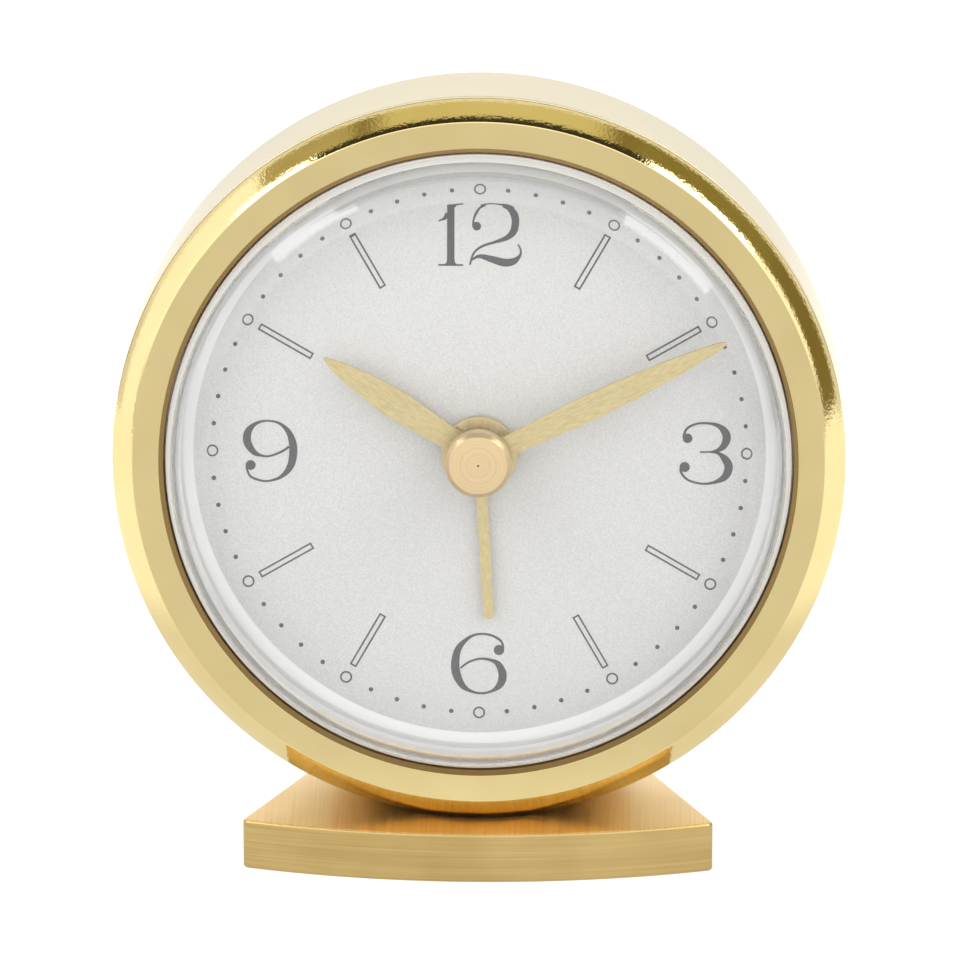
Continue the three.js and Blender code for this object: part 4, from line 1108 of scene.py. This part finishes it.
def add_door():
    disc = turned(rounded([
        (0, COVER_BACK, 0),
        (DOOR_RADIUS, COVER_BACK, DOOR_EDGE_ROUND),
        (DOOR_RADIUS, DOOR_FRONT, DOOR_FRONT_ROUND),
        (0, DOOR_FRONT, 0),
    ]), 2 * FINE)
    lugs = []
    for side in (0, 180):
        start, end = side - DOOR_LUG_HALF_DEG, side + DOOR_LUG_HALF_DEG
        reach = arc((0, 0), DOOR_RADIUS + DOOR_LUG, start, end, ARC_STEPS)
        root = arc((0, 0), DOOR_RADIUS - DOOR_LUG, end, start, ARC_STEPS)
        lugs.append(prism(reach + root, DOOR_LUG_BACK, DOOR_LUG_FRONT))
    length, width, depth = COIN_SLOT
    coin = prism(slot((0, 0), length, width), COVER_BACK - CUT_OVERRUN, COVER_BACK + depth)
    made = carve(solid("door", joined(disc, *lugs)), coin)
    place = HEAD @ Matrix.Translation(Vector((*on_head("battery_door_turn"), 0)) * MM)
    dress(made, "black_plastic", "battery_door", "battery_door", place)


# Studio


def add_floor():
    """Glowing disc, dimmer before the clock and brighter beside it"""
    floor = solid("floor", prism(circle(FLOOR_RADIUS, count=FLOOR_SIDES), -FLOOR_THICKNESS, 0))
    look = Look("floor")
    x, y, _ = look.split(look.place)
    front = look.step(look.math("MULTIPLY", y, -1.0), *(edge * MM for edge in FLOOR_FRONT))
    beside = look.step(look.math("ABSOLUTE", x), *(edge * MM for edge in FLOOR_BESIDE))
    level = look.span(front, GLOW_NEAR, GLOW_FRONT, 0, 1)
    glow = look.math("ADD", level, look.math("MULTIPLY", beside, GLOW_BESIDE))
    look.set(base_color=(FLOOR_TONE, FLOOR_TONE, FLOOR_TONE, 1), roughness=0.8)
    look.set(emission_color=(1, 1, 1, 1), emission_strength=glow)
    floor.data.materials.append(look.material)


def add_world():
    """Soft white room, with dark flags and two lamps beside the clock that its polished edges show.

    Angles run clockwise from above, as seen from the front. Levels of y are those of a direction.
    """
    world = bpy.data.worlds.new("studio")
    bpy.context.scene.world = world
    world.use_nodes = True
    sky = Nodes(world.node_tree)
    toward = sky.add("ShaderNodeTexCoord").outputs["Generated"]
    x, y, z = sky.split(toward)
    turns = sky.math("DIVIDE", sky.math("ARCTAN2", x, z), TAU)
    clock = sky.math("FRACT", sky.math("ADD", turns, 1.0))
    degrees = sky.math("MULTIPLY", clock, 360.0)

    lamp_edge, flag_edge, front_edge, back_edge = (-0.62, -0.58), (-0.36, -0.33), (-0.1, -0.06), (0.24, 0.3)
    seam_low, seam_high, seam_soft = 0.46, 0.64, 0.02
    pale, gold, dark = (1.6, 1.6, 1.66), (0.92, 0.85, 0.5), (0.3, 0.24, 0.09)
    mottle, tan = (0.34, 0.29, 0.1), (0.62, 0.55, 0.3)
    flags = [
        (0, gold), (22, gold), (27, dark), (30, mottle), (61, mottle), (67, dark), (92.5, dark),
        (94, pale), (313.5, pale), (314.5, tan), (333, tan), (336, dark), (342, gold), (360, gold),
    ]
    side = sky.ramp(clock, *[(angle / 360, colour) for angle, colour in flags])
    speckle = sky.span(sky.noise(toward, 90, 2), 0.5, 1.6)
    right, left = sky.between(degrees, 29, 64, 2), sky.between(degrees, 314.5, 335, 0.5)
    side = sky.mix(sky.math("ADD", right, left), side, sky.times(side, speckle))

    room, ceiling, lamp, black = (1, 1, 1, 1), (1.7, 1.7, 1.7, 1), (5, 5, 5, 1), (0.06, 0.055, 0.04, 1)
    front = sky.mix(sky.step(z, 0.0, 0.2), room, ceiling)
    right, left = sky.between(degrees, 34, 59, 0.5), sky.between(degrees, 308, 330, 0.5)
    lamps = sky.math("MULTIPLY", sky.math("ADD", right, left), sky.step(y, *lamp_edge))
    front = sky.mix(lamps, front, lamp)
    above = sky.math("SUBTRACT", 1.0, sky.between(degrees, 33, 325, 1))
    flag = sky.math("MULTIPLY", above, sky.step(y, *flag_edge))
    front = sky.mix(flag, front, black)

    back = sky.ramp(z, (0.0, 1.1), (0.12, 1.05), (0.3, 1.25), (0.7, 1.2))
    seam = (0.14, 0.1, 0.04, 1)
    colour = sky.mix(sky.step(y, *front_edge), front, side)
    colour = sky.mix(sky.step(y, *back_edge), colour, back)
    colour = sky.mix(sky.between(y, seam_low, seam_high, seam_soft), colour, seam)
    sky.feed(world.node_tree.nodes["Background"].inputs["Color"], colour)


def add_camera():
    azimuth, elevation = math.radians(CAMERA_AZIMUTH_DEG), math.radians(CAMERA_ELEVATION_DEG)
    toward = Vector((
        math.sin(azimuth) * math.cos(elevation),
        -math.cos(azimuth) * math.cos(elevation),
        math.sin(elevation),
    ))
    turn = (-toward).to_track_quat("-Z", "Y")
    aim = Vector(CAMERA_FOCUS) * MM + turn @ Vector(CAMERA_SHIFT) * MM
    stand = aim + toward * (CAMERA_DISTANCE * MM)
    data = bpy.data.cameras.new("camera")
    data.lens = CAMERA_LENS
    data.sensor_width = CAMERA_SENSOR
    data.clip_end = CAMERA_REACH_M
    camera = bpy.data.objects.new("camera", data)
    camera.matrix_world = Matrix.Translation(stand) @ turn.to_matrix().to_4x4()
    bpy.context.scene.collection.objects.link(camera)
    bpy.context.scene.camera = camera


dress_frame()
add_drum()
add_bezel()
add_crystal()
add_base()
add_base_screws()
add_hands()
add_cap()
add_dial()
add_track()
add_bars()
add_figures()
add_rear_cover()
add_knobs()
add_door()
add_floor()
add_world()
add_camera()
bpy.context.scene.view_settings.view_transform = "Standard"
